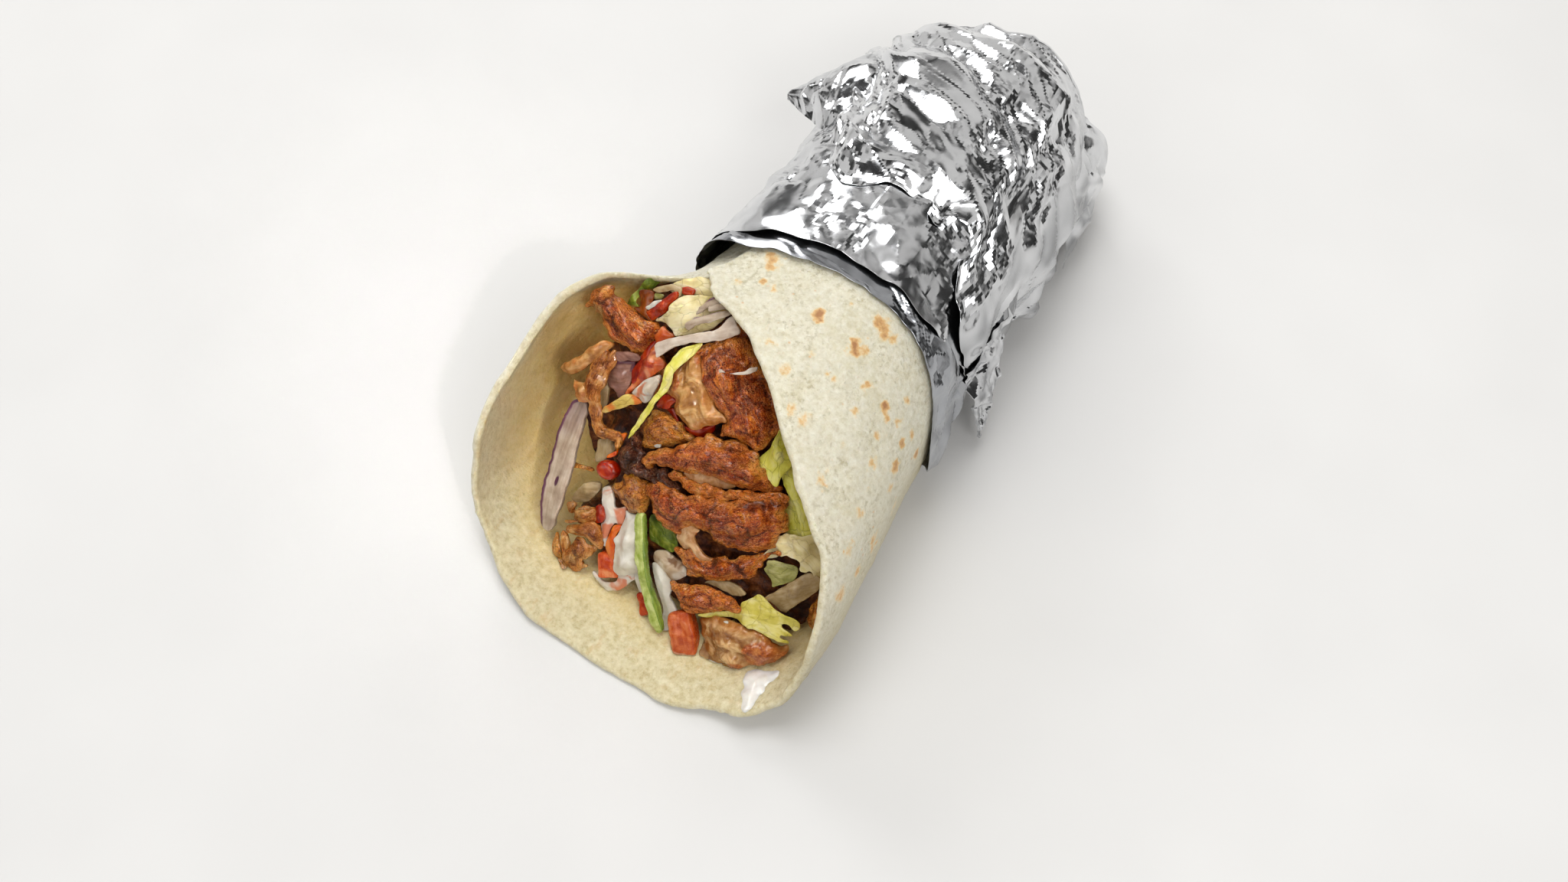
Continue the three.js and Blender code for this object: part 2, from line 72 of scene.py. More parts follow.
# The mouth's rim: angle from the top, turning left, and place along the roll.
RIM = [
    (-40, 16), (10, 8), (30, 2), (46, -3), (58, -8), (67, -17), (78, -36), (90, -53), (126, -64), (160, -73),
    (185, -76), (214, -73), (250, -66), (275, -57), (297, -47), (332, -29), (358, -11), (375, -4), (389, 1),
]
# The foil's front edges: angle, collar's edge, sleeve's edge.
COLLAR = [
    (0, 13.5, 18), (15, 12.5, 17.5), (40, 10, 15), (90, 13, 19), (180, 15, 21), (225, 10, 23),
    (255, 1.5, 22.5), (272, 0, 21), (290, 4, 17.5), (305, 8, 16.5), (320, 11, 16), (340, 13, 17),
    (360, 13.5, 18),
]
# The front edge of the crumpled flap over the sleeve: angle, place along the roll.
FLAP = [
    (0, 42), (10, 38.5), (21, 42.5), (33, 49), (54, 57), (80, 66), (110, 70), (180, 74), (230, 66),
    (252, 50), (262, 38), (272, 26), (285, 20), (297, 18.5), (309, 25), (317, 32), (328, 41), (338, 40),
    (348, 43.5), (360, 42),
]
# Points and faces of the roll and what lies in its mouth, for what is laid on them later.
ON_HEAP = []


# --- Small helpers -----------------------------------------------------------------------------

def mix(a, b, t):
    return a + (b - a) * t


def smooth(start, end, x):
    t = np.clip((np.asarray(x, float) - start) / (end - start), 0, 1)
    return t * t * (3 - 2 * t)


def bell(x, middle, reach):
    """1 at the middle, falling off softly over the reach."""
    return np.exp(-(((x - middle) / reach) ** 2))


def follow(table, at, column):
    """A cubic through a table's column, whose slope at each row comes from that row's neighbours."""
    table = np.asarray(table, float)
    x, v = table[:, 0], table[:, column]
    slopes = np.gradient(v, x)
    slopes[1:-1] = (v[2:] - v[:-2]) / (x[2:] - x[:-2])
    i = np.clip(np.searchsorted(x, at) - 1, 0, len(x) - 2)
    h = x[i + 1] - x[i]
    t = np.clip((at - x[i]) / h, 0, 1)
    rise = v[i + 1] - v[i]
    early = h * slopes[i] - rise
    late = rise - h * slopes[i + 1]
    return v[i] + rise * t + t * (1 - t) * (early * (1 - t) + late * t)


def along_list(sizes, t):
    """A list of sizes read at t, from 0 at its start to 1 at its end."""
    sizes = np.atleast_1d(np.asarray(sizes, float))
    return np.interp(t, np.linspace(0, 1, len(sizes)), sizes)


def corner_value(i, j, k, seed):
    """A fixed number from -1 to 1 for each whole-number corner of a lattice."""
    h = (i * 73856093) ^ (j * 19349663) ^ (k * 83492791) ^ (seed * 2654435761 + 97)
    h = (h ^ (h >> 13)) * 1274126177
    h = (h ^ (h >> 16)) & 0xFFFFFF
    return h / float(0x7FFFFF) - 1


def noise(points, size, seed):
    """Smooth noise from -1 to 1 at points in space. The size may differ along each axis."""
    p = np.asarray(points, float) / size
    base = np.floor(p).astype(np.int64)
    f = p - base
    f = f * f * f * (f * (f * 6 - 15) + 10)
    total = 0
    for dx in (0, 1):
        for dy in (0, 1):
            for dz in (0, 1):
                share = (
                    (f[..., 0] if dx else 1 - f[..., 0])
                    * (f[..., 1] if dy else 1 - f[..., 1])
                    * (f[..., 2] if dz else 1 - f[..., 2])
                )
                corner = base + (dx, dy, dz)
                total = total + share * corner_value(*np.moveaxis(corner, -1, 0), seed)
    return total * 1.5


def rough(points, size, seed):
    """Noise summed over three ever finer sizes."""
    return sum(noise(points, size / 2**o, seed + 31 * o) / 2**o for o in range(3)) / 1.5


def creases(u, v, size, seed, turn, stretch=1.0):
    """Flat facets that meet in straight creases: the heights of a slanted lattice, joined by planes."""
    c, s = math.cos(turn), math.sin(turn)
    a = (u * c + v * s) / (size * stretch)
    b = (v * c - u * s) / size
    p, q = a + b * 0.577, b * 1.155
    i, j = np.floor(p).astype(np.int64), np.floor(q).astype(np.int64)
    x, y = p - i, q - j
    middle = np.where(y > x, corner_value(i, j + 1, 0, seed), corner_value(i + 1, j, 0, seed))
    low = corner_value(i, j, 0, seed)
    high = corner_value(i + 1, j + 1, 0, seed)
    return low + np.maximum(x, y) * (middle - low) + np.minimum(x, y) * (high - middle)


def unit(vectors):
    return vectors / np.maximum(np.linalg.norm(vectors, axis=-1, keepdims=True), 1e-9)


# --- Meshes ------------------------------------------------------------------------------------

def make_mesh(name, points, quads, fields=None, crease=None):
    """A smooth-shaded mesh from points in the roll's frame and faces of four corners, sharp past a crease."""
    mesh = bpy.data.meshes.new(name)
    placed = (np.asarray(points, float) + SHIFT) * MM
    a, b, c, d = (placed[quads[:, n]] for n in range(4))
    if (np.cross(b - a, c - a) * (a + b + c) + np.cross(c - a, d - a) * (a + c + d)).sum() < 0:
        quads = quads[:, ::-1].copy()
    mesh.vertices.add(len(placed))
    mesh.vertices.foreach_set("co", placed.ravel())
    mesh.loops.add(quads.size)
    mesh.loops.foreach_set("vertex_index", quads.ravel().astype(np.int32))
    mesh.polygons.add(len(quads))
    mesh.polygons.foreach_set("loop_start", np.arange(0, quads.size, 4, dtype=np.int32))
    mesh.polygons.foreach_set("use_smooth", np.ones(len(quads), bool))
    mesh.update(calc_edges=True)
    if crease:
        mesh.set_sharp_from_angle(angle=math.radians(crease))
    for key, values in (fields or {}).items():
        vector = np.ndim(values) == 2
        layer = mesh.attributes.new(key, "FLOAT_VECTOR" if vector else "FLOAT", "POINT")
        numbers = np.ascontiguousarray(values, np.float32).ravel()
        layer.data.foreach_set("vector" if vector else "value", numbers)
    return mesh


def grid_normals(points):
    """The normal at each point of a grid, from its first direction to its second."""
    return unit(np.cross(np.gradient(points, axis=0), np.gradient(points, axis=1)))


def loop_quads(count, size):
    """The faces between rings of the same size, and strips across the first ring and the last."""
    k = np.arange(size)
    after = (k + 1) % size
    rows = []
    for here in range(0, (count - 1) * size, size):
        there = here + size
        rows.append(np.stack([here + k, there + k, there + after, here + after], 1))
    half = np.arange(size // 2 - 1)
    strip = np.stack([half, half + 1, size - 2 - half, size - 1 - half], 1)
    return np.concatenate([*rows, strip, (strip + (count - 1) * size)[:, ::-1]])


# The rows that round off a sheet's front edge: share of the way out, and how far each one bulges.
LIP_ROWS = ((0.16, 0.62), (0.5, 1.0), (0.84, 0.62))
LIP_BULGE = 0.5  # as a share of the sheet's thickness


def shell(outside, inside):
    """Rings round a sheet, from two grids that share their front row's place, with a rounded front lip."""
    front = unit(outside[:, 0] - outside[:, 1])
    thick = np.linalg.norm(outside[:, 0] - inside[:, 0], axis=-1, keepdims=True)
    bulge = front * thick * LIP_BULGE
    lips = [mix(inside[:, 0], outside[:, 0], share) + bulge * out for share, out in LIP_ROWS]
    return np.concatenate([inside[:, ::-1], np.stack(lips, 1), outside], axis=1)


def inner_face(rows, count):
    """1 on a shell's inside, 0 on its outside and what lies between them on its lip."""
    ring = np.concatenate([np.ones(rows), [1 - share for share, _ in LIP_ROWS], np.zeros(rows)])
    return np.tile(ring, count)


# --- Finishes ----------------------------------------------------------------------------------

def srgb(red, green, blue):
    """A colour given in everyday 0 to 255 values, as linear light."""
    def linear(c):
        c /= 255
        return c / 12.92 if c <= 0.04045 else ((c + 0.055) / 1.055) ** 2.4
    return (linear(red), linear(green), linear(blue), 1.0)


class Amount:
    """A socket whose value changes over the surface. Sums and products of amounts add Math nodes."""

    def __init__(self, finish, socket):
        self.finish = finish
        self.socket = socket

    def __add__(self, other):
        return self.finish.maths("ADD", self, other)

    def __sub__(self, other):
        return self.finish.maths("SUBTRACT", self, other)

    def __rsub__(self, other):
        return self.finish.maths("SUBTRACT", other, self)

    def __mul__(self, other):
        return self.finish.maths("MULTIPLY", self, other)

    __radd__ = __add__
    __rmul__ = __mul__


class Finish:
    """One material, and the few calls that its nodes are made with."""

    def __init__(self, name):
        self.material = bpy.data.materials.new(name)
        self.material.use_nodes = True
        self.tree = self.material.node_tree
        self.shader = next(n for n in self.tree.nodes if n.type == "BSDF_PRINCIPLED")
        self.place = self.node("TexCoord", output="Object")

    def node(self, kind, settings=None, inputs=None, output=0):
        made = self.tree.nodes.new("ShaderNode" + kind)
        for key, value in (settings or {}).items():
            if key == "stops":
                self.set_stops(made.color_ramp, value)
            else:
                setattr(made, key, value)
        for key, value in (inputs or {}).items():
            self.feed(made.inputs[key], value)
        return Amount(self, made.outputs[output])

    def set_stops(self, ramp, stops):
        while len(ramp.elements) < len(stops):
            ramp.elements.new(1.0)
        for element, (at, colour) in zip(ramp.elements, stops):
            element.position = at
            element.color = srgb(*colour)

    def feed(self, socket, value):
        if isinstance(value, Amount):
            self.tree.links.new(value.socket, socket)
        else:
            socket.default_value = value

    def maths(self, operation, a, b):
        return self.node("Math", {"operation": operation}, {0: a, 1: b})

    def field(self, name, output="Fac"):
        return self.node("Attribute", {"attribute_name": name}, output=output)

    def grain(self, size, detail, uneven=0.55, at=None, bend=0.0):
        """Noise from 0 to 1 whose features are about size millimetres across."""
        facts = {"Vector": at or self.place, "Scale": 1 / (size * MM), "Detail": detail}
        facts.update({"Roughness": uneven, "Distortion": bend})
        return self.node("TexNoise", None, facts)

    def cells(self, size, at=None, feature="F1"):
        """How far each point is from the middle or the edge of scattered cells."""
        facts = {"Vector": at or self.place, "Scale": 1 / (size * MM)}
        return self.node("TexVoronoi", {"feature": feature}, facts, "Distance")

    def stretched(self, vector, factors):
        """A place scaled along each axis, for streaks."""
        return self.node("VectorMath", {"operation": "MULTIPLY"}, {0: vector, 1: factors})

    def fibres(self, grain, share):
        """Places along a piece's grain, in metres, for streaks whose width is this share of their length."""
        return self.stretched(grain, (share * MM, MM, MM))

    def rise(self, value, low, high):
        """0 below low, 1 above high and a soft step between."""
        ends = {"Value": value, "From Min": low, "From Max": high}
        return self.node("MapRange", {"interpolation_type": "SMOOTHSTEP"}, ends)

    def noise_shift(self, size, reach):
        """A shift in millimetres that differs over the surface, to bend a pattern with."""
        facts = {"Vector": self.place, "Scale": 1 / (size * MM), "Detail": 2.0}
        wander = self.node("TexNoise", None, facts, "Color")
        return self.node("VectorMath", {"operation": "SCALE"}, {0: wander, "Scale": reach})

    def ramp(self, value, *stops):
        """A colour read off stops, each a place from 0 to 1 and a colour in 0 to 255 values."""
        return self.node("ValToRGB", {"stops": stops}, {"Fac": value})

    def blend(self, share, low, high):
        """A colour that turns by a share into another, which may be given in 0 to 255 values."""
        high = high if isinstance(high, Amount) else srgb(*high)
        return self.node("Mix", {"data_type": "RGBA"}, {0: share, 6: low, 7: high}, 2)

    def bump(self, height, depth, strength, under=None):
        """Relief whose depth is in millimetres, over another relief if there is one."""
        facts = {"Height": height, "Distance": depth * MM, "Strength": strength}
        if under:
            facts["Normal"] = under
        return self.node("Bump", None, facts, "Normal")

    def surface(self, **sockets):
        for key, value in sockets.items():
            self.feed(self.shader.inputs[key.replace("_", " ")], value)
        return self.material


def tortilla_finish():
    f = Finish("baked_tortilla")
    inside, toast, lip = f.field("inside"), f.field("toast"), f.field("lip")
    fine = f.grain(0.8, 4)
    broad = f.grain(8.5, 3, bend=0.6)
    flour = f.grain(1.5, 5, 0.7)
    outer = f.ramp(flour, (0.30, (202, 194, 166)), (0.45, (217, 211, 189)), (0.66, (230, 226, 209)))
    outer = f.blend(f.rise(broad + (fine - 0.5) * 0.5, 0.50, 0.74) * 0.35, outer, (198, 188, 150))
    mottled = f.rise(f.grain(1.3, 3, 0.7), 0.50, 0.66) * f.rise(f.grain(11.0, 2), 0.44, 0.58)
    outer = f.blend(mottled * 0.6, outer, (172, 162, 126))
    # Painted shade: the outer face turns darker and yellower low down on its right flank.
    outer = f.blend(f.field("side") * 0.7, outer, (170, 156, 114))
    browning = toast + (fine - 0.5) * 0.7
    baked_tones = ((232, 222, 192), (228, 200, 146), (212, 164, 102), (172, 114, 62))
    baked = f.ramp(browning, *zip((0.08, 0.32, 0.58, 0.90), baked_tones))
    outer = f.blend(f.rise(toast + (fine - 0.5) * 0.5, 0.04, 0.50) * 0.9, outer, baked)
    specks = f.rise(f.cells(3.2), 0.15, 0.05) * f.rise(f.grain(15.0, 1), 0.50, 0.62)
    outer = f.blend(specks * 0.6, outer, (212, 162, 98))
    # Painted light: the inner face is deep yellow further into the mouth and paler near its rim, standing in
    # for warm light that bounces and shines through inside it.
    wrinkles = f.grain(5.0, 4, 0.6, at=f.stretched(f.place, (1.0, 0.34, 0.6)), bend=0.8)
    deep = f.ramp(wrinkles, (0.28, (214, 178, 96)), (0.5, (236, 206, 128)), (0.75, (246, 224, 158)))
    pale = f.ramp(flour, (0.3, (190, 174, 130)), (0.46, (212, 200, 160)), (0.68, (230, 221, 190)))
    inner = f.blend(f.rise(lip + (fine - 0.5) * 0.2, 0.10, 0.85), deep, pale)
    blush = f.rise(f.grain(3.4, 3, 0.6, at=f.stretched(f.place, (1.0, 0.5, 0.7))), 0.56, 0.74)
    inner = f.blend(blush * 0.30, inner, (204, 160, 92))
    colour = f.blend(inside, outer, inner)
    pores = f.rise(f.cells(1.3), 0.30, 0.05)
    swells = f.bump(f.grain(3.0, 2, bend=0.5), 0.7, 0.5)
    return f.surface(
        Base_Color=colour,
        Roughness=0.58 + (fine - 0.5) * 0.25,
        Normal=f.bump(fine * 0.5 + flour - pores * 0.35, 0.45, 0.75, swells),
        Subsurface_Weight=0.4, Subsurface_Radius=(1.0, 0.8, 0.5), Subsurface_Scale=2.2 * MM,
        Specular_IOR_Level=0.3,
    )


DULLER = 0.92  # how bright foil is in its dull patches


def foil_finish(name, bright, gloss):
    f = Finish(name)
    streaks = f.grain(1.4, 2, at=f.stretched(f.place, (1.0, 0.16, 1.0)))
    scuffs = f.grain(9.0, 3)
    colour = f.ramp(scuffs, (0.3, [int(c * DULLER) for c in bright]), (0.7, bright))
    return f.surface(
        # Painted dark reflection: the shade field turns the colour dark grey where the foil faces sideways or
        # down.
        Base_Color=f.blend(f.field("shade") * 0.85, colour, (74, 76, 80)),
        Metallic=1.0,
        Roughness=gloss + (scuffs - 0.5) * 0.10 + (streaks - 0.5) * 0.05,
        Normal=f.bump(streaks, 0.05, 0.2),
    )


# --- The roll ----------------------------------------------------------------------------------

def roll_point(angle, y, depth):
    """Points of the roll's outline at an angle from the top, turning left, sunk below it by a depth."""
    angle, y, depth = np.broadcast_arrays(*(np.asarray(v, float) for v in (angle, y, depth)))
    left, right, top = (follow(OUTLINE, y, column) for column in (1, 2, 3))
    sine, cosine = np.sin(np.radians(angle)), np.cos(np.radians(angle))
    flare = smooth(20, -10, y) * smooth(0, 1, sine)
    power = np.where(cosine < 0, FLAT_BASE, mix(ROUND_TOP, FLARED_TOP, flare))
    across = np.sign(sine) * np.abs(sine) ** power
    up = np.sign(cosine) * np.abs(cosine) ** power
    under_foil = (FOIL_INNER + FOIL_GAP) * smooth(2, 14, y)
    half = (top - under_foil) / 2
    x = (left + right) / 2 - ((right - left) / 2 - depth) * across
    return np.stack([x, y, under_foil + half + (half - depth) * up], axis=-1)


def even_angles(start, end, count, y):
    """Angles that step evenly along the outline at one station."""
    fine = np.linspace(start, end, 12000)
    steps = np.linalg.norm(np.diff(roll_point(fine, y, 0), axis=0), axis=-1)
    run = np.concatenate([[0], np.cumsum(steps)])
    return np.interp(np.linspace(0, run[-1], count), run, fine)


def inner_layer(angle):
    """How far the inner end of the roll is sunk, so that the outer flap can pass over it."""
    return (SHEET + LAYER_GAP) * smooth(115, 45, angle)


# Browned spots: place across, along and up, then width and darkness.
TOAST = [
    (-8.9, 10, 62.4, 5.5, 0.7), (-7, 3, 63.7, 2.2, 0.75), (-4.1, 2.5, 64, 2.4, 0.75),
    (8.4, 1, 64.1, 2.8, 1.0), (9.5, 0, 64.1, 2.2, 0.9), (19.6, -1.5, 62, 4.6, 1), (21, 7.5, 60.7, 4.4, 0.7),
    (22.9, 7, 59.9, 5.2, 0.7), (24.9, 6.5, 58.9, 3.6, 0.55), (25.8, -7, 59.3, 2.8, 0.85),
    (31.3, -8, 55.2, 2.2, 0.95), (32.9, -9.5, 53.6, 2.4, 0.9), (34.7, -8, 51.3, 2.4, 0.8),
    (32.1, -9, 54.4, 1.6, 0.7), (28, -31.5, 55.4, 3.4, 0.7), (29.2, -32.5, 54.5, 2.4, 0.5),
    (35.2, -20.5, 51.1, 3, 0.8), (38.5, -15.5, 45.4, 3, 0.85), (18.7, -23.5, 61.3, 3.4, 0.5),
    (26.7, -14.5, 58.6, 2.4, 0.6), (17.8, -11, 62.8, 1.6, 0.6), (19.5, -11.5, 62.2, 1.6, 0.6),
    (41.7, -30, 34.8, 3.4, 0.8), (39.1, -39, 43.8, 3, 0.7), (41.9, -38.5, 35, 2.6, 0.6),
    (39.6, -6.5, 37, 2.4, 0.8), (37.5, -10, 46.8, 2, 0.8), (3.2, -12, 65.7, 4.4, 0.4),
    (9.5, -16.5, 64.7, 3.2, 0.42), (41.5, -47, 37, 3.4, 0.5), (37.7, -31, 46.8, 2.6, 0.5),
    (15.3, -23, 62.4, 2.8, 0.5), (40.8, -18, 30, 2.8, 0.6), (33.1, -15, 53.6, 1.8, 0.6),
    (37.8, -6, 45.2, 2, 0.6), (39.9, -20, 42, 2.2, 0.5), (28.4, -22.5, 56.9, 2.2, 0.4),
    (12.5, -8.5, 64.4, 2.2, 0.4), (37, -25.5, 48.3, 2, 0.5), (13.2, 8, 62.8, 2.4, 0.4),
    (-12, 0, 63.6, 2.4, 0.35), (34.3, -2, 51.3, 2.2, 0.6), (-45, -52.7, 8, 2.6, 0.6),
    (-46, -20, 60, 4.0, 0.35),
]


def toast_field(points):
    """How browned each point is: soft-edged, uneven spots."""
    wobble = rough(points, 2.6, 41) * 0.55 + noise(points, 0.9, 42) * 0.3
    total = np.zeros(points.shape[:-1])
    for x, y, z, width, dark in TOAST:
        offset = (points - (x, y, z)) * (1.0, 0.72, 0.6)
        reach = np.linalg.norm(offset, axis=-1) / (width * 0.38)
        total = np.maximum(total, dark * smooth(1.9, 0.0, reach + wobble) ** 1.2)
    return total


def make_tortilla(finish):
    """The rolled sheet: both faces fine in the mouth, coarser inside the foil."""
    columns, mouth_rows, sleeve_rows = 400, 78, 9
    thick = 1.7
    angles = even_angles(ROLL_START, ROLL_END, columns, -30)[:, None]
    rim = follow(RIM, angles, 1)
    edge = np.concatenate([angles * 0.7, rim, rim * 0], 1)
    rim = rim + (noise(edge, 11, 5) * 0.8 + noise(edge, 3.4, 6) * 0.32)[:, None]
    share = np.linspace(0, 1, mouth_rows)[None] ** 1.15
    y = np.concatenate([mix(rim, 24.0, share), np.tile(np.linspace(28, TAIL, sleeve_rows), (columns, 1))], 1)
    depth = inner_layer(angles) + np.zeros_like(y)
    place = roll_point(angles, y, depth)
    swell = noise(place, 26, 7) * 0.55 + noise(place, 9, 8) * 0.26
    swell = swell * smooth(20, 6, y) * smooth(-1.5, 2.5, place[..., 2] - 1.0)
    blisters = np.maximum(rough(place, 2.6, 9), 0) * 0.20 * smooth(24, 12, y)
    gap = (SHEET - thick) * 0.5
    outside = roll_point(angles, y, depth + gap - swell - blisters)
    creased = np.abs(rough(place * (1, 0.35, 0.8), 5.0, 12)) * 0.4 * smooth(22, 8, y)
    inside = roll_point(angles, y, depth + gap + thick - swell + creased)
    outside[..., 2] = np.maximum(outside[..., 2], 0)
    rings = shell(outside, inside)
    points = rings.reshape(-1, 3)
    wall = inner_face(outside.shape[1], columns)
    # How near the rim each point lies, which sets the painted warm light on the inner face.
    lip_share = np.exp(-(y - rim) / 26.0)
    lip = np.concatenate([lip_share[:, ::-1], np.ones((columns, 3)), lip_share], 1).ravel()
    # Where painted shade falls on the outer face: low down on the right flank.
    side = smooth(46, 12, points[:, 2]) * smooth(26, 40, points[:, 0]) * (1 - wall)
    fields = {"inside": wall, "lip": lip, "toast": toast_field(points), "side": side}
    quads = loop_quads(columns, rings.shape[1])
    ON_HEAP.append((points, quads))
    mesh = make_mesh("tortilla_sheet", points, quads, fields)
    add_piece("tortilla_sheet", mesh, finish, ["tortilla"])


def add_piece(name, mesh, finish, nodes):
    """A finished piece, with the solids that it stands in for."""
    piece = bpy.data.objects.new(name, mesh)
    bpy.context.scene.collection.objects.link(piece)
    mesh.materials.append(finish)
    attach(piece, "root")
    if nodes:
        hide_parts(*nodes)


# --- The foil ----------------------------------------------------------------------------------

def crumple(u, v, seed, sizes, depths, stretch=1.6):
    """Crushed foil: flat facets of several sizes. The small ones gather where the sheet is crushed most."""
    place = np.stack([u, v, 0 * u], -1)
    crushed = smooth(-0.35, 0.5, noise(place, 13, seed + 90))
    height = np.zeros_like(u)
    for n, (size, depth) in enumerate(zip(sizes, depths)):
        bend_u = creases(u, v, size * 2.3, seed + 50 + n, 0.9) * size * 0.6
        bend_v = creases(u, v, size * 1.9, seed + 60 + n, 2.0) * size * 0.6
        turn = 0.7 + 1.9 * n
        facets = creases(u + bend_u, v + bend_v, size, seed + n, turn, stretch)
        ridges = creases(u - bend_v, v + bend_u, size * 1.6, seed + 20 + n, turn + 1.1, stretch)
        share = 1.0 if n < 2 else mix(0.15, 1.25, crushed)
        height = height + depth * share * (np.maximum(facets, ridges * 1.2) - 0.35)
    return height


SHARP_CREASE = 5  # degrees between two facets
PAINTED_SHADE_LEAN = np.array([0.5, 1.0, 0.6])  # facets that lean this way, to the tail, get more painted dark reflection


def foil_piece(name, outside, normals, finish, keep=None, wall=0.14, dark=0.72, contrast=2.6, under=None):
    """Foil with sharp creases, from its outer face. Its shade field paints dark reflection on facets that
    face sideways or down, more so by their tilt.

    The inner face follows the outer one over its first rows, and a plain grid under it from there on.
    """
    inside = outside[:, :keep] - normals[:, :keep] * wall
    if under is not None:
        inside = np.concatenate([inside, under], 1)
    inside[..., 2] = np.maximum(inside[..., 2], 0.02)
    crushed = grid_normals(outside)
    crushed = crushed * np.sign((crushed * normals).sum())
    tilt = (crushed - normals) @ PAINTED_SHADE_LEAN
    # Painted dark reflection: high where a facet faces sideways or down, raised or lowered by its tilt.
    shade = smooth(0.6, 0.15, crushed[..., 2]) * np.clip(dark + contrast * tilt, 0, 1)
    for _ in range(2):
        shade = 0.5 * shade + 0.25 * (np.roll(shade, 1, 0) + np.roll(shade, -1, 0))
        shade[:, 1:-1] = 0.5 * shade[:, 1:-1] + 0.25 * (shade[:, :-2] + shade[:, 2:])
    rings = shell(outside, inside)
    count, size = rings.shape[:2]
    shade = np.concatenate([np.full((count, size - shade.shape[1]), 0.1), shade], 1)
    quads, fields = loop_quads(count, size), {"shade": shade.ravel()}
    mesh = make_mesh(name, rings.reshape(-1, 3), quads, fields, SHARP_CREASE)
    add_piece(name, mesh, finish, ["foil"])


def foil_grid(angles, y, stand_off, seed, sizes, depths, stretch=1.6):
    """A foil sheet round the roll at a stand-off from it, crushed along its normals."""
    place = roll_point(angles, y, -stand_off)
    u = np.cumsum(np.linalg.norm(np.diff(place, axis=0, prepend=place[:1]), axis=-1), axis=0)
    v = y + 0 * u
    height = crumple(u, v, seed, sizes, depths, stretch)
    slide = crumple(u + 40, v + 17, seed + 7, sizes[:2], depths[:2], stretch)
    return place, height, slide, -grid_normals(place)


def make_collar(finish):
    """The inner layer, which shows as a band in front of the sleeve."""
    columns, rows = 400, 32
    angles = even_angles(180, 540, columns, 16)[:, None]
    turn = angles % 360
    front = follow(COLLAR, turn, 1) + noise(angles * (1, 1, 1), 9, 3)[:, None] * 0.35
    covered = follow(COLLAR, turn, 2)
    y = mix(front, covered + 6.0, np.linspace(0, 1, rows)[None])
    notch = bell(turn, 42, 13) * smooth(22, 11, y)
    place, height, slide, normals = foil_grid(
        angles, y, FOIL_GAP + 0.35 + 1.6 * notch, 11, (9, 4.2, 2.0), (0.9, 0.6, 0.25),
    )
    calm = smooth(0.0, 1.0, place[..., 2] / 3) * mix(0.25, 1.0, smooth(0, 3, y - front))
    wide_part = smooth(65, 30, np.abs(turn - 275)) * smooth(1, -5, y - covered)
    calm = calm * mix(1.0, 2.2, wide_part)
    calm = calm * mix(1.0, 0.3, smooth(-1, 3, y - covered))
    skin = place + normals * np.maximum((height + 0.3) * calm, -0.35)[..., None]
    outside = np.stack([skin[..., 0], skin[..., 1] + slide * 0.4, np.maximum(skin[..., 2], 0.12)], -1)
    # The collar's facets get stronger painted dark reflection by their tilt.
    foil_piece("foil_collar", outside, normals, finish, 20, dark=0.30, contrast=4.5)


def make_sleeve(finish):
    """The layer over the collar, as far back as the flap covers it."""
    columns, rows = 410, 106
    angles = even_angles(180, 540, columns, 40)[:, None]
    turn = angles % 360
    front = follow(COLLAR, turn, 2) + noise(angles * (1, 1, 1), 12, 4)[:, None] * 0.5
    y = mix(front, SLEEVE_END, np.linspace(0, 1, rows)[None])
    back_from_edge = y - front
    lift = 0.15 * np.exp(-back_from_edge / 3.0) + 0.5 * bell(turn, 42, 16)
    place, height, slide, normals = foil_grid(
        angles, y, FOIL_GAP + 1.15 + lift, 21, (11, 5.5, 2.8, 1.4), (1.3, 1.0, 0.55, 0.2), 1.7,
    )
    busy = smooth(75, 30, np.abs(turn - 305)) + 0.5 * smooth(30, 12, np.abs(turn - 62))
    calm = smooth(0.0, 6.0, place[..., 2]) * mix(0.45, 1.0, smooth(0, 5, back_from_edge))
    calm = calm * mix(0.72, 1.15, busy)
    skin = place + normals * np.maximum((height + 0.45) * calm, -0.5)[..., None]
    outside = np.stack([skin[..., 0], skin[..., 1] + slide * calm * 0.8, np.maximum(skin[..., 2], 0.12)], -1)
    under = (place - normals * 0.9)[:, 22::12]
    foil_piece("foil_sleeve", outside, normals, finish, 18, under=under)


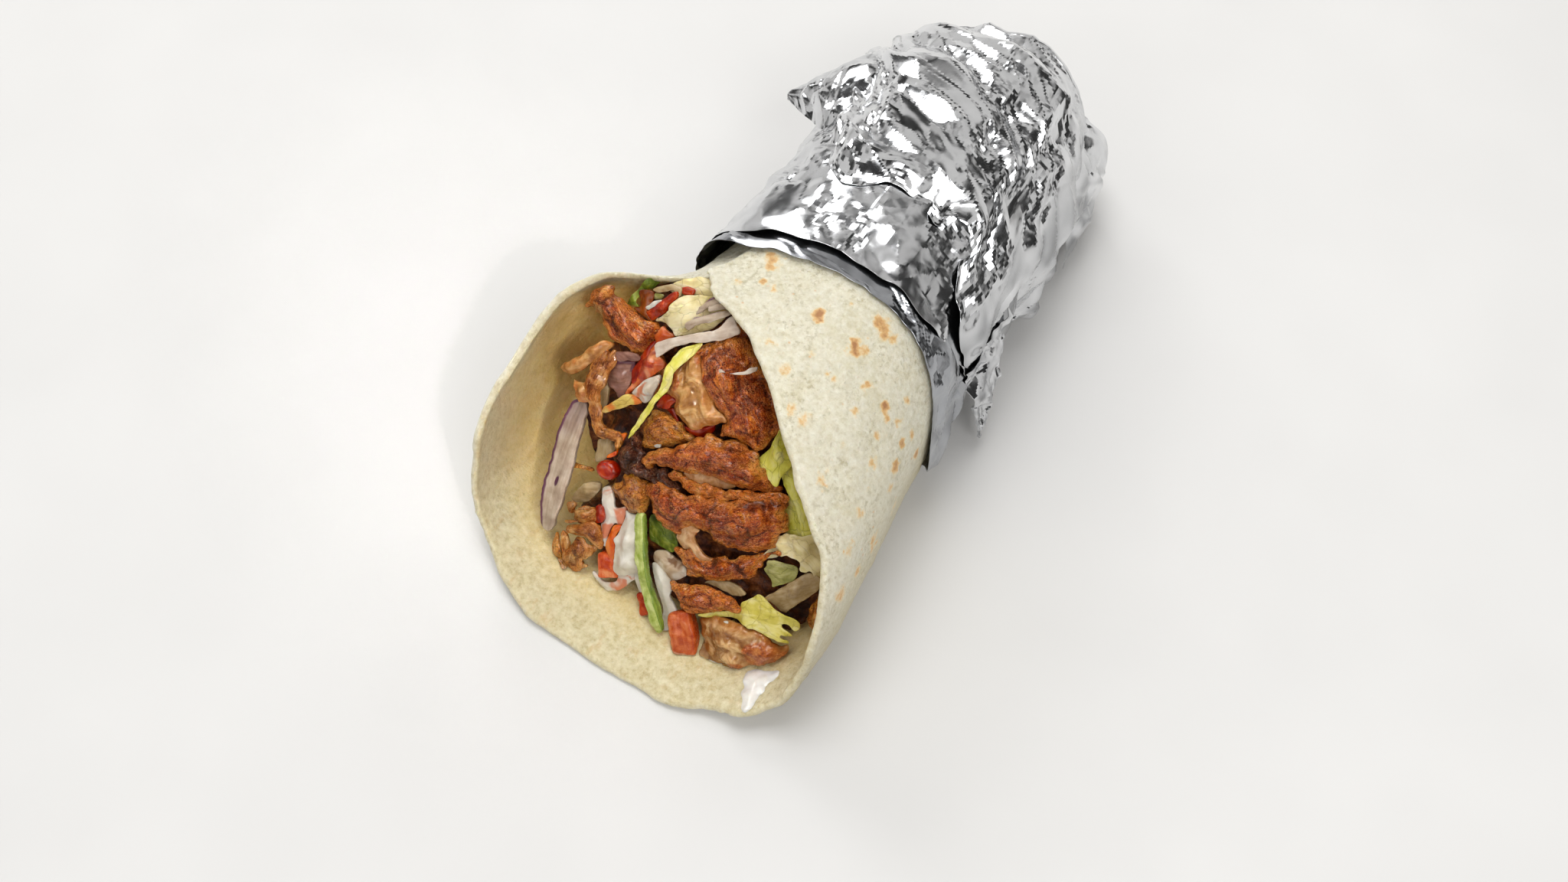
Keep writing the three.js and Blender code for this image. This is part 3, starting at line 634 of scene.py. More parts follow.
def make_flap(finish):
    """The crushed outer sheet over the top and the closed tail."""
    columns, rows = 430, 156
    angles = even_angles(180, 540, columns, 70)[:, None]
    turn = angles % 360
    front = follow(FLAP, turn, 1) + noise(angles * (0.8, 0, 0), 7, 14)[:, None] * 1.6
    share = np.linspace(0, 1, rows)[None] + 0 * front
    y = mix(front, TAIL, np.minimum(share / FLAP_CLOSES, 1))
    back_from_edge = y - front
    lift = 2.2 * smooth(0, 9, back_from_edge) - 0.9 * bell(turn, 284, 16)
    place, height, slide, normals = foil_grid(
        angles, y, FOIL_GAP + 2.3 + lift, 33, (16, 8.5, 4.6, 2.6), (3.4, 2.4, 0.95, 0.26), 1.5,
    )
    closing = smooth(FLAP_CLOSES, 1.0, share) ** 0.8
    bend = np.clip((share - FLAP_CLOSES) / (1 - FLAP_CLOSES), 0, 1) * math.pi / 2
    middle = np.array([2.5, 0.0, 21.0])
    base = mix(place * (1, 0, 1), middle, (1 - np.cos(bend))[..., None])
    base[..., 1] = y + (FOIL_TAIL - TAIL - 1.0) * np.sin(bend)
    normals = -grid_normals(base)
    gathered = crumple(base[..., 0], base[..., 2], 44, (9, 4.6, 2.4), (2.2, 1.2, 0.4))
    height = mix(height, gathered, smooth(0.2, 0.8, closing))
    slide = slide * (1 - closing)
    calm = smooth(0.0, 7.0, base[..., 2]) * mix(0.5, 1.0, smooth(0, 6, back_from_edge)) * (1 - 0.3 * closing)
    right_side = 0.75 * bell(turn, 290, 16)
    calm = calm * (1 - right_side * bell(y, 92, 12))
    calm = calm * (1 - right_side * smooth(9, 0, back_from_edge))
    skin = base + normals * (height * calm)[..., None]
    skin[..., 1] += slide * calm * 0.6
    skin[..., 2] = np.maximum(skin[..., 2], 0.15)
    foil_piece("foil_flap", skin, normals, finish, 18)


def net_patch(net, rows, columns):
    """A smooth sheet of points over a small net of rows of corners."""
    across = np.stack([spline(row, columns) for row in net])
    return np.stack([spline(across[:, k], rows) for k in range(columns)], 1)


def foil_patch(name, net, finish, seed, sizes, depths):
    """A loose piece of foil over a net of corners, crushed into facets."""
    sheet = net_patch(net, 90, 70)
    u = np.cumsum(np.linalg.norm(np.diff(sheet, axis=1, prepend=sheet[:, :1]), axis=-1), 1)
    v = np.cumsum(np.linalg.norm(np.diff(sheet, axis=0, prepend=sheet[:1]), axis=-1), 0)
    normals = grid_normals(sheet)
    sheet = sheet + normals * crumple(u, v, seed, sizes, depths)[..., None]
    sheet[..., 2] = np.maximum(sheet[..., 2], 0.2)
    foil_piece(name, sheet, normals, finish, wall=0.16)


def make_loose_foil(finish):
    """The folded corner that stands out on the left, the torn strip on the right and the fold behind it."""
    foil_patch("foil_corner", [
        [(-12, 56, 55.5), (-13, 66, 55.2), (-11, 80, 54.2), (-6, 93, 50.5)],
        [(-22.5, 58.4, 49.6), (-24, 67, 52.5), (-22.5, 78, 53), (-20, 91, 48)],
        [(-31, 64, 44.4), (-32.4, 68, 47.4), (-31.4, 75, 48), (-28, 87, 43)],
        [(-38, 67.6, 42.6), (-38.6, 69, 43.6), (-36.6, 72, 44), (-31, 83, 38)],
    ], finish, 51, (7, 3.4, 1.7), (1.0, 0.6, 0.2))
    foil_patch("foil_torn_strip", [
        [(40.0, 19.5, 37), (40.6, 30, 36), (39.6, 44, 34)],
        [(41.0, 20.5, 29), (41.6, 30, 28), (40.2, 42, 26)],
        [(42.0, 21.0, 22), (42.6, 29, 20), (41.8, 37, 18)],
        [(42.4, 22.4, 15), (43.6, 26, 13), (42.6, 31, 11)],
        [(43.4, 22.6, 9.4), (44.0, 24, 8), (43.4, 25.6, 6.6)],
        [(43.8, 23.4, 4.6), (44.0, 24, 3.8), (43.8, 24.6, 3.2)],
    ], finish, 52, (5, 2.6, 1.3), (1.7, 1.1, 0.4))
    foil_patch("foil_side_fold", [
        [(30, 84, 44), (31, 98, 38), (28, 112, 30)],
        [(37, 82, 33), (38.4, 97, 28), (34, 112, 22)],
        [(39.6, 80, 20), (40.4, 96, 15), (36, 110, 12)],
        [(40, 79, 8), (40.4, 94, 5), (36.4, 107, 3)],
    ], finish, 53, (8, 4, 2), (1.4, 0.8, 0.3))


# --- The heap in the mouth ---------------------------------------------------------------------
# Its front slopes up from the lip. Its own frame has X across, Y up the slope and Z out of it.

SLOPE = math.radians(44)
HEAP_ORIGIN = np.array([1.5, -32.0, 26.0])
HEAP_TURN = np.array([
    [1, 0, 0],
    [0, math.cos(SLOPE), -math.sin(SLOPE)],
    [0, math.sin(SLOPE), math.cos(SLOPE)],
])


def from_heap(points):
    return np.asarray(points, float) @ HEAP_TURN.T + HEAP_ORIGIN


def to_heap(points):
    return (np.asarray(points, float) - HEAP_ORIGIN) @ HEAP_TURN


def spline(path, count, closed=False):
    """Points on a smooth line through a path's points, or on a loop round through them all."""
    path = np.asarray(path, float)
    if closed:
        knots = np.concatenate([path[-1:], path, path[:2]])
        place = np.arange(count) * len(path) / count
        i = place.astype(int)
    else:
        knots = np.concatenate([[2 * path[0] - path[1]], path, [2 * path[-1] - path[-2]]])
        place = np.linspace(0, len(path) - 1, count)
        i = np.minimum(place.astype(int), len(path) - 2)
    t = (place - i)[:, None]
    a, b, c, d = (knots[i + n] for n in range(4))
    return 0.5 * (2 * b + (c - a) * t + (2 * a - 5 * b + 4 * c - d) * t**2 + (3 * b - a - 3 * c + d) * t**3)


class Line:
    """A piece's centre line, with the directions across its flat side and out of it."""

    def __init__(self, path, roll=0.0, count=81):
        self.points = spline(path, count)
        self.along = unit(np.gradient(self.points, axis=0))
        side = unit(np.cross((0.0, 0.0, 1.0), self.along))
        out = np.cross(self.along, side)
        turn = np.radians(along_list(roll, np.linspace(0, 1, count)))[:, None]
        self.side = side * np.cos(turn) + out * np.sin(turn)
        self.out = np.cross(self.along, self.side)
        self.run = np.concatenate([[0], np.cumsum(np.linalg.norm(np.diff(self.points, axis=0), axis=1))])
        self.length = self.run[-1]

    def at(self, t):
        """Centre, along, side and out at each share t of the line. It runs straight on past its ends."""
        place = np.clip(t, 0, 1) * (len(self.points) - 1)
        i = np.minimum(place.astype(int), len(self.points) - 2)
        f = (place - i)[:, None]
        known = (self.points, self.along, self.side, self.out)
        centre, along, side, out = (mix(v[i], v[i + 1], f) for v in known)
        beyond = (t - np.clip(t, 0, 1))[:, None] * self.length
        return centre + along * beyond, along, side, out

    def local(self, points):
        """Run along, place across and height out of the line for points near it."""
        near = np.linalg.norm(points[:, None] - self.points[None], axis=-1).argmin(1)
        offset = points - self.points[near]
        return np.stack([
            self.run[near] + (offset * self.along[near]).sum(1),
            (offset * self.side[near]).sum(1),
            (offset * self.out[near]).sum(1),
        ], 1)


def tube_faces(rows, sides):
    """The faces between rings of the same size, and one over each end."""
    quads = [
        (r * sides + k, r * sides + (k + 1) % sides, (r + 1) * sides + (k + 1) % sides, (r + 1) * sides + k)
        for r in range(rows - 1) for k in range(sides)
    ]
    return [*quads, tuple(range(sides))[::-1], tuple((rows - 1) * sides + k for k in range(sides))]


def bar(line, wide, thick, seed, lump, square, start=0.0, end=1.0, across=0.0, out=0.0, blunt=4.0):
    """A closed lumpy bar along a stretch of a line, as points and faces."""
    steps, sides = 30, 18
    q = np.sin(np.linspace(-1, 1, steps) * math.pi / 2)
    share = (q + 1) / 2
    t = mix(start, end, share)
    taper = np.maximum(1 - np.abs(q) ** blunt, 0.002) ** 0.5
    centre, _, side, up = line.at(t)
    centre = centre + side * along_list(across, share)[:, None] + up * along_list(out, share)[:, None]
    turn = 2 * math.pi * (np.arange(sides) + 0.5) / sides
    c, s = np.cos(turn), np.sin(turn)
    ring = np.stack([np.sign(c) * np.abs(c) ** square, np.sign(s) * np.abs(s) ** square], 1)
    half_wide = along_list(wide, share) / 2 * taper
    half_thick = along_list(thick, share) / 2 * taper
    points = (
        centre[:, None]
        + side[:, None] * (ring[None, :, :1] * half_wide[:, None, None])
        + up[:, None] * (ring[None, :, 1:] * half_thick[:, None, None])
    )
    wave = noise(points, max(2.0, float(np.mean(thick)) * 0.9), seed + 3)[..., None]
    points = points + (points - centre[:, None]) * wave * lump * 1.6
    return points.reshape(-1, 3), tube_faces(steps, sides)


def fused(parts, voxel, even_out=2):
    """One closed skin round closed parts that run into each other: points, faces and normals."""
    points, faces, count = [], [], 0
    for part_points, part_faces in parts:
        points.append(part_points)
        faces.extend(tuple(count + i for i in face) for face in part_faces)
        count += len(part_points)
    mesh = bpy.data.meshes.new("parts")
    mesh.from_pydata(np.concatenate(points).tolist(), [], faces)
    holder = bpy.data.objects.new("parts", mesh)
    bpy.context.scene.collection.objects.link(holder)
    remesh = holder.modifiers.new("fuse", "REMESH")
    remesh.mode = "VOXEL"
    remesh.voxel_size = voxel
    soften = holder.modifiers.new("soften", "SMOOTH")
    soften.iterations = even_out
    made = bpy.data.meshes.new_from_object(holder.evaluated_get(bpy.context.evaluated_depsgraph_get()))
    read = np.zeros(len(made.vertices) * 3)
    made.vertices.foreach_get("co", read)
    normals = np.zeros(len(made.vertices) * 3, np.float32)
    made.vertex_normals.foreach_get("vector", normals)
    corners = np.zeros(len(made.loops), np.int32)
    made.loops.foreach_get("vertex_index", corners)
    sizes = np.zeros(len(made.polygons), np.int32)
    made.polygons.foreach_get("loop_total", sizes)
    bpy.data.objects.remove(holder)
    bpy.data.meshes.remove(mesh)
    bpy.data.meshes.remove(made)
    assert (sizes == 4).all()
    return read.reshape(-1, 3), corners.reshape(-1, 4), normals.reshape(-1, 3).astype(float)


def kept_in(points):
    """Points held inside the tortilla's inner face and above the table."""
    x, y, z = points.T
    left, right, top = (follow(OUTLINE, y, column) for column in (1, 2, 3))
    under = (FOIL_INNER + FOIL_GAP) * smooth(2, 14, y)
    middle, half = (left + right) / 2, (top - under) / 2
    wide, high = (right - left) / 2 - SHEET - 0.5, half - SHEET - 0.5
    u, v = (x - middle) / wide, (z - under - half) / high
    flare = smooth(20, -10, y) * smooth(0, 1, -u)
    power = np.where(v < 0, FLAT_BASE, mix(ROUND_TOP, FLARED_TOP, flare))
    reach = (np.abs(u) ** (2 / power) + np.abs(v) ** (2 / power)) ** (power / 2)
    scale = 1 / np.maximum(reach, 1)
    return np.stack([middle + u * scale * wide, y, under + half + v * scale * high], 1)


def joined(parts):
    """Several skins as one mesh's points, faces and fields."""
    points, quads, fields, count = [], [], {}, 0
    for part_points, part_quads, part_fields in parts:
        points.append(part_points)
        quads.append(part_quads + count)
        count += len(part_points)
        for key, values in part_fields.items():
            fields.setdefault(key, []).append(values)
    return np.concatenate(points), np.concatenate(quads), {k: np.concatenate(v) for k, v in fields.items()}


def heap_piece(name, skins, finish, nodes=(), held=True):
    """One piece in the mouth, from skins given in the heap's frame."""
    points, quads, fields = joined(skins)
    placed = from_heap(points)
    if held:
        placed = kept_in(placed)
    ON_HEAP.append((placed, quads))
    add_piece(name, make_mesh(name, placed, quads, fields), finish, nodes)


# Outlines of what lies in the mouth, in the heap's frame: across, up the slope and out of it.
OUTLINES = {
    "back_fill": [(-30, 39.7, 2.2), (-25.6, 44.3, 2.2), (-20.5, 45.6, 2), (-15.6, 43.5, 2.2),
        (-15.3, 40.8, 2.4), (-20, 39.5, 2.6), (-26, 39.2, 2.6)],
    "back_green": [(-32.3, 37.2, 3.2), (-30.7, 38, 3.4), (-29.6, 37.9, 3.4), (-30.2, 36.6, 3.4),
        (-31.4, 35.8, 3.2), (-32.4, 36.2, 3)],
    "back_red": [(-26.3, 41.6, 3.8), (-24.7, 42.3, 3.8), (-23.1, 42.3, 3.8), (-23, 41, 4), (-23.8, 40.4, 4.2),
        (-25, 40.3, 4.4), (-26, 41, 4.2)],
    "back_sauce": [(-36.5, 36, 1.8), (-34.5, 37.1, 2.2), (-32.8, 37.3, 2.4), (-32.2, 36, 2.6),
        (-32.2, 34.3, 3), (-32.6, 32.9, 3.4), (-31.8, 32, 3.6), (-29.9, 31.1, 3.8), (-31.9, 30.8, 3.4),
        (-34.6, 31.1, 2.6), (-36.1, 31.6, 2.2), (-34.7, 32.8, 2.2), (-35.6, 34.4, 2)],
    "back_strand": [(-33.1, 38, 3.6), (-31.8, 39.2, 3.8), (-30.1, 40.4, 4), (-28.6, 41.4, 4),
        (-26.5, 41.8, 4.2), (-25.7, 41.1, 4.4), (-25.5, 40, 4.6), (-25.9, 38.9, 4.8), (-26.8, 39.7, 4.6),
        (-27.8, 40.4, 4.2), (-29.1, 39.4, 4), (-30.8, 38, 3.8), (-32.3, 37.4, 3.6)],
    "nub_a": [(-34.6, -20.1, 3.6), (-33.5, -19.1, 3.8), (-32.1, -19.1, 3.8), (-31.9, -20.3, 3.6),
        (-32.6, -22.1, 3.4), (-33.9, -21.6, 3.4)],
    "nub_b": [(-32.8, -23.8, 4.4), (-31.2, -22.8, 4.8), (-29.1, -21.6, 5), (-29, -22.3, 5),
        (-30.7, -23.3, 4.8), (-32.3, -24.3, 4.4)],
    "nub_c": [(-31, -19.2, 5), (-29.7, -18.1, 5.2), (-27.9, -17.3, 5.2), (-27.4, -18, 5), (-29.2, -19, 5),
        (-30.6, -19.7, 4.8)],
    "onion_rim": [(-36.4, 18.7, 4.4), (-35.4, 20.6, 4.8), (-33.5, 21.7, 5), (-31.3, 22.2, 5),
        (-29.4, 22.2, 5), (-29.6, 21.1, 4.8), (-31.9, 20.1, 4.8), (-34.2, 18.8, 4.6)],
    "red_area": [(-27.2, 26.8, 4.6), (-28.1, 28.2, 4.6), (-27.7, 29.9, 4.6), (-27, 31.5, 4.6),
        (-25.4, 31, 4.8), (-23.2, 30.6, 4.8), (-24.5, 29.1, 5), (-26.2, 27.4, 5.2), (-26, 25.6, 5.2),
        (-24.9, 24.4, 5.4), (-22.8, 23.6, 5.6), (-23, 22, 5.6), (-24.4, 19.8, 5.4), (-25.9, 17.7, 5),
        (-27.5, 15.6, 4.6), (-28.7, 13.4, 4.2), (-30.1, 11.6, 3.8), (-30.2, 12.6, 3.8), (-29.4, 15.6, 3.8),
        (-30.2, 18.3, 3.8), (-30, 20, 4), (-29.6, 22.8, 4.4), (-28.6, 25.4, 4.6)],
    "red_left": [(-26.8, -17.8, 4.2), (-26.2, -16.3, 4.4), (-25, -16.3, 4.6), (-23.8, -18.3, 4.6),
        (-23.6, -19.4, 4.4), (-24.7, -20.5, 4.2), (-25.7, -20.6, 4)],
    "red_low": [(-8.4, -32.7, 2.6), (-6.5, -31.9, 3), (-5, -33.8, 2.8), (-3.6, -35.5, 2.4),
        (-5.2, -36.9, 2.2), (-7, -35.2, 2.4)],
    "red_strip": [(-31.6, 32.2, 4.6), (-31.7, 33.4, 5), (-29.8, 36.1, 5.4), (-28.2, 38.6, 5.4),
        (-26.6, 40.5, 5.2), (-25.8, 40, 5.2), (-25.9, 38.9, 5.2), (-27, 37.1, 5.2), (-26.9, 35.1, 5),
        (-28.3, 33.5, 4.8), (-29.8, 31.5, 4.4), (-30.7, 31.6, 4.4)],
    "smear": [(-8.9, -20.8, 3.6), (-6.3, -19.1, 3.8), (-3.2, -19.4, 4), (-1, -19.6, 4.2), (0.5, -20.8, 4.2),
        (0.8, -22.1, 4), (-0.6, -24, 3.8), (-2.4, -25.3, 3.6), (-5, -25.8, 3.4), (-6.9, -24.3, 3.4)],
    "strip_white": [(-32.5, 33.9, 5.6), (-31.8, 34.7, 5.8), (-30.9, 36.1, 6), (-29.2, 37.4, 6.2),
        (-28.8, 37.2, 6.2), (-29.9, 35.6, 6), (-30.9, 34.4, 5.8), (-31.7, 33.5, 5.6)],
    "under_slab": [(5.7, -21.4, 4.6), (8.1, -19.5, 4.8), (11, -18.1, 5), (13.8, -17.9, 5), (16.4, -18.9, 4.8),
        (14.7, -20.5, 4.6), (11.5, -20.9, 4.6), (8.1, -21, 4.6)],
    "wall_blob": [(-34.9, -19.1, 0.4), (-33.7, -15.5, 0.8), (-31.9, -13.4, 1), (-29.6, -12.4, 1.2),
        (-28.4, -13.6, 1.4), (-29, -15.7, 1.2), (-30.7, -18.3, 0.8), (-32.8, -19.8, 0.6),
        (-34.3, -20.2, 0.4)],
    "wall_chip": [(-33.1, -2.1, 2.2), (-31.7, -1.1, 2.4), (-30.3, -0.5, 2.6), (-28.2, -1.4, 2.8),
        (-27.8, -2.7, 2.8), (-28.6, -4.5, 2.8), (-30.1, -6.5, 2.6), (-31.7, -7.6, 2.2), (-32.5, -6.6, 2),
        (-32.6, -4.6, 2)],
    "wall_stick": [(-38, -11.1, 0.6), (-36.1, -10.6, 1), (-34, -10.1, 1.2), (-32.3, -10.1, 1.2),
        (-32.1, -10.8, 1.2), (-34.3, -11.2, 1), (-36.1, -11.7, 0.8), (-37.5, -12.1, 0.6)],
    "arch_flake": [(-43.3, 10.2, 5.2), (-41.1, 10, 6), (-38.6, 9.8, 6.2), (-37.1, 8.1, 5.8), (-37.1, 6, 5.2),
        (-38.8, 5.7, 5), (-41.3, 6.1, 4.8), (-42.3, 7.2, 4.8), (-42.6, 9, 5)],
    "bark": [(-26.5, -1.2, 4), (-25, 2, 4.8), (-23.8, 4.6, 5), (-22.1, 4.6, 5), (-20.8, 2.7, 5.2),
        (-19, 1.3, 5.4), (-18.7, -0.6, 5.6), (-16.7, -0.5, 5.4), (-13.6, -0.1, 5.4), (-11.8, -1.6, 5.2),
        (-8.4, -2.3, 5), (-8.6, -3.6, 4.6), (-12.2, -4.2, 4.8), (-15.6, -4.4, 5), (-19.4, -4.8, 5),
        (-22.7, -5.9, 4.8), (-24.7, -4.3, 4.6), (-26, -2.9, 4.4)],
    "blob": [(-27.9, 13.5, 5), (-26.9, 16, 6), (-25.4, 18.4, 6.6), (-23.4, 20.3, 6.8), (-22.6, 20.8, 6.6),
        (-21.9, 19.3, 6.8), (-22.1, 16.9, 6.6), (-22.9, 14.1, 6), (-24.1, 12.6, 5.6), (-25.8, 13.1, 5.4)],
    "chunk": [(-16.1, 30.5, 7.5), (-14.8, 32.9, 7), (-12.1, 34.6, 6.5), (-9.4, 36.3, 6), (-6.3, 37.7, 5.5),
        (-3, 35.2, 5), (0.7, 32.2, 5), (4.1, 29.3, 5), (6.7, 26.3, 5), (9.3, 22.8, 5), (9, 19.8, 6),
        (8, 17.3, 6.5), (6.9, 14.7, 7.5), (5.2, 15.6, 8.5), (3.4, 15.8, 9), (1.4, 16.4, 9.6), (-0.8, 16, 9.8),
        (-2.7, 14.7, 10), (-2.9, 17.4, 9.5), (-2.1, 18.7, 9), (-4.7, 19.9, 9), (-7.7, 21.1, 9),
        (-9.8, 22.8, 9), (-11.7, 24.8, 9), (-13.3, 27.4, 8.5)],
    "chunk_lip": [(8.1, -29.7, 3.6), (13.4, -26.8, 5), (20.2, -25.8, 6), (24.2, -25.3, 6), (27.3, -26.8, 5),
        (30.2, -26.3, 3), (30.8, -30, 2.4), (29, -33.3, 2.4), (26.7, -35.2, 2.8), (24.5, -35.8, 3.2),
        (23.2, -39, 2.6), (22, -38.9, 2.8), (20.2, -39.3, 2.8), (18.2, -39, 3), (15.8, -40.2, 2.6),
        (14.1, -41, 2.4), (12.7, -39.5, 2.4), (10.7, -35.8, 2.8)],
    "curl": [(-10.2, 27.1, 11), (-9.1, 28.7, 11.6), (-7.7, 30.4, 12), (-6.7, 30.2, 12.2), (-5.2, 30.4, 12),
        (-3.5, 31.2, 11.6), (-2, 32.2, 11), (-1.3, 33.3, 10.4), (-0.2, 34.1, 9.6), (0.1, 33.1, 9.6),
        (-0.8, 32.3, 10.6), (-2.2, 31.2, 11.4), (-4.1, 30.4, 12), (-5.7, 30, 12.4), (-7, 29.7, 12.2),
        (-8.4, 28.5, 11.8), (-9.7, 27.1, 11.2)],
    "dark_leaf": [(-13.7, -13.7, 2.6), (-12.5, -12.5, 3), (-9.7, -13.2, 3.4), (-7.3, -13.9, 3.6),
        (-5.4, -14.4, 3.6), (-3.7, -16.7, 3.4), (-4.2, -17.8, 3.2), (-5.6, -18.9, 3), (-9.7, -19, 2.8),
        (-11.8, -18.4, 2.6)],
    "drape": [(-16.7, 29.8, 8), (-15.7, 30.8, 8.5), (-13.6, 29, 9.3), (-12.4, 27.2, 9.6), (-11.1, 25.2, 10),
        (-9.1, 23.3, 10.4), (-7.1, 21.6, 10.2), (-4.1, 20.3, 10), (-1.8, 18.8, 9.4), (-3.5, 17.9, 9.8),
        (-4.9, 16.8, 10), (-6.5, 15.6, 9.8), (-7.9, 13.9, 9.4), (-9.6, 13.4, 9), (-12.4, 13.3, 8.4),
        (-14.9, 14.1, 8), (-16.2, 15.5, 7.6), (-16.4, 17.7, 7.6), (-19.6, 17.7, 7), (-19.5, 20, 7),
        (-19.4, 22.8, 7.2), (-17.7, 26.2, 7.6)],
    "fat_bridge": [(-4.3, -12.8, 7.4), (-2.5, -9.3, 8.2), (0.7, -8.8, 8.2), (0, -10.9, 7.6), (1.5, -13.1, 7),
        (4.5, -14.1, 6.8), (7, -13.9, 6.8), (5, -15.6, 6.6), (2.3, -16.1, 6.4), (-0.4, -15.4, 6.2),
        (-2.8, -14.9, 6.4)],
    "fat_strip": [(-8, 2.5, 7.8), (-6.4, 3.2, 8.2), (-3.7, 4.5, 8.4), (-0.6, 5.2, 8.4), (1.7, 5.2, 8),
        (4.9, 4.9, 7.4), (3.3, 3.5, 7.4), (-0.1, 2.5, 7.8), (-3.2, 1.7, 7.8), (-5.4, 1.6, 7.8),
        (-7.3, 1.7, 7.4)],
    "folded": [(6.9, 12.5, 7), (8.6, 16.4, 7), (9.3, 21.8, 6), (9.8, 22.2, 5), (11.3, 20, 5), (13.2, 17.4, 5),
        (15, 15.6, 5), (14.9, 14.1, 6), (14, 11.6, 6.6), (14.2, 9.7, 7), (13.5, 9.3, 7), (11.5, 10, 7),
        (8.4, 11.1, 7.2)],
    "fringed": [(7.7, -28.7, 5.4), (12.6, -25.3, 6), (16.3, -23, 6.4), (16.2, -21.1, 6.2), (18.4, -18.7, 6.2),
        (19.4, -17.1, 6.4), (21.2, -17.1, 6.8), (23.1, -17.6, 7), (25, -18.1, 7.4), (28.2, -17.8, 7.8),
        (32, -17.9, 8), (31.8, -20.3, 7.8), (29.7, -20, 7.6), (27.7, -20.4, 7.4), (27.7, -21.1, 7.4),
        (29.6, -21.3, 7.6), (31.3, -21.9, 7.6), (29.9, -22.8, 7.4), (27.9, -22.8, 7.2), (29.2, -23.5, 7.4),
        (30.9, -24.2, 7.4), (27.6, -24.8, 7), (24.4, -25, 6.8), (20.9, -25.3, 6.4), (19.7, -25.1, 6.2),
        (16, -25.9, 5.8), (12.4, -27.2, 5.4), (9, -28.9, 5)],
    "lip_drip": [(22.8, -40, 0.5), (23.7, -37.4, 0.5), (26.5, -36.2, 0.5), (30, -34.6, 0.5),
        (29.9, -36.7, 0.5), (29, -39.2, 0.5), (28, -42.4, 0.5), (27.3, -45.4, 0.5), (26.1, -48.1, 0.5),
        (24.8, -46.8, 0.5), (23.6, -42.8, 0.5)],
    "lip_fat": [(12.6, -31.8, 5.6), (12.9, -29.4, 6), (14.1, -27.3, 6), (15.3, -26.8, 6), (15.7, -28.4, 6.4),
        (15, -31.1, 6.2), (14.3, -32.9, 5.8), (13.4, -32.5, 5.6)],
    "lip_white": [(16.9, -40.5, 2.4), (18.1, -38.9, 2.8), (20.1, -39, 2.8), (20.7, -39.5, 2.6),
        (19.9, -40.7, 2.4), (18, -41.1, 2.2)],
    "middle_fold": [(-11.4, -0.5, 7.4), (-11.2, 1.2, 7.8), (-9.1, 2.1, 8), (-7, 1.7, 8), (-4.2, 1.9, 8.2),
        (-0.3, 2.4, 8.4), (3.6, 3.6, 8.2), (7.1, 5.3, 7.8), (10.2, 6.5, 7), (14.3, 7.7, 6), (17.1, 8.2, 5.2),
        (16.9, 6.1, 6), (9.3, 3.6, 8.6), (5.8, 1.7, 9), (2.5, 0.4, 9.2), (-1.5, -0.9, 9), (-4.3, -1.4, 8.6),
        (-6.6, -1.4, 8), (-8, -0.6, 7.6), (-9.6, -0.6, 7.2)],
    "nub_glint": [(-18.3, 7.5, 8.4), (-17.5, 8.1, 8.6), (-15.7, 8.8, 8.6), (-15.9, 7.3, 8.4), (-15.8, 5.9, 8),
        (-15.8, 5.1, 7.8), (-17.5, 4.6, 7.8), (-17.2, 6.1, 8.2)],
    "nub_golden": [(-21.7, 4.8, 5), (-22.2, 8.1, 5.4), (-21.4, 11.2, 6), (-19.9, 12.9, 6.4),
        (-17.9, 13.2, 6.8), (-15.9, 12.8, 7), (-13.1, 12.1, 7), (-10.3, 10.9, 7), (-9.3, 10.1, 6.8),
        (-11, 8.4, 6.4), (-14.2, 6, 6), (-17.6, 3.6, 5.4), (-19.8, 2.3, 5), (-21.2, 3.3, 4.8)],
    "nub_lower": [(-25.3, -10.5, 4.6), (-23.4, -8.8, 5.4), (-22.6, -5.7, 5.8), (-19.8, -4.2, 6),
        (-17.4, -4.8, 6), (-16.1, -5, 6), (-14.8, -7.6, 6), (-13.9, -9.9, 5.4), (-14.2, -12, 4.8),
        (-16, -13.5, 4.4), (-18.1, -14.5, 4.2), (-19.4, -13.5, 4.2), (-20.8, -13.4, 4), (-22.2, -12.3, 4),
        (-23.7, -11.2, 4.2)],
    "onion_back_a": [(-20.5, 38.1, 6.6), (-19.5, 40.1, 6.8), (-17.9, 42.7, 6.4), (-16.4, 43.9, 5.8),
        (-14.5, 43.4, 5.4), (-14, 43, 5.4), (-16, 41.9, 6.2), (-17.7, 40.3, 6.8), (-19.3, 38.2, 7)],
    "onion_back_b": [(-17.5, 41, 7.2), (-15.8, 42.2, 7), (-13.9, 43.2, 6.4), (-13.4, 42.3, 6.4),
        (-15.3, 41.1, 7), (-16.8, 40, 7.4)],
    "onion_back_c": [(-21.1, 35.2, 8), (-19, 37.4, 8.2), (-16.7, 39.3, 8), (-14.1, 41.4, 7.2),
        (-12.2, 42.2, 6.6), (-11.6, 41.6, 6.6), (-13.3, 39.7, 7.6), (-14.5, 38.6, 8), (-17.9, 36.1, 8.2),
        (-19.4, 34.2, 8), (-20.1, 34.2, 8)],
    "onion_left": [(-41.4, 5.1, 2.6), (-38.2, 4.6, 3.2), (-37.3, -0.2, 3.6), (-36.7, -6.9, 3.8),
        (-35.8, -16.2, 3.8), (-35.6, -23.4, 3.4), (-35.9, -27.7, 3), (-37, -29.2, 2.8), (-38.9, -28.9, 2.6),
        (-40.5, -26, 2.6), (-42.3, -18.8, 2.8), (-42.5, -12.6, 2.8), (-43.3, -6.8, 2.8), (-43.3, -2.4, 2.6),
        (-42.9, 2.2, 2.4)],
    "onion_right": [(20.8, -17.6, 4.6), (23.6, -13.7, 5.2), (26, -10, 5.6), (28.5, -6.9, 5.4),
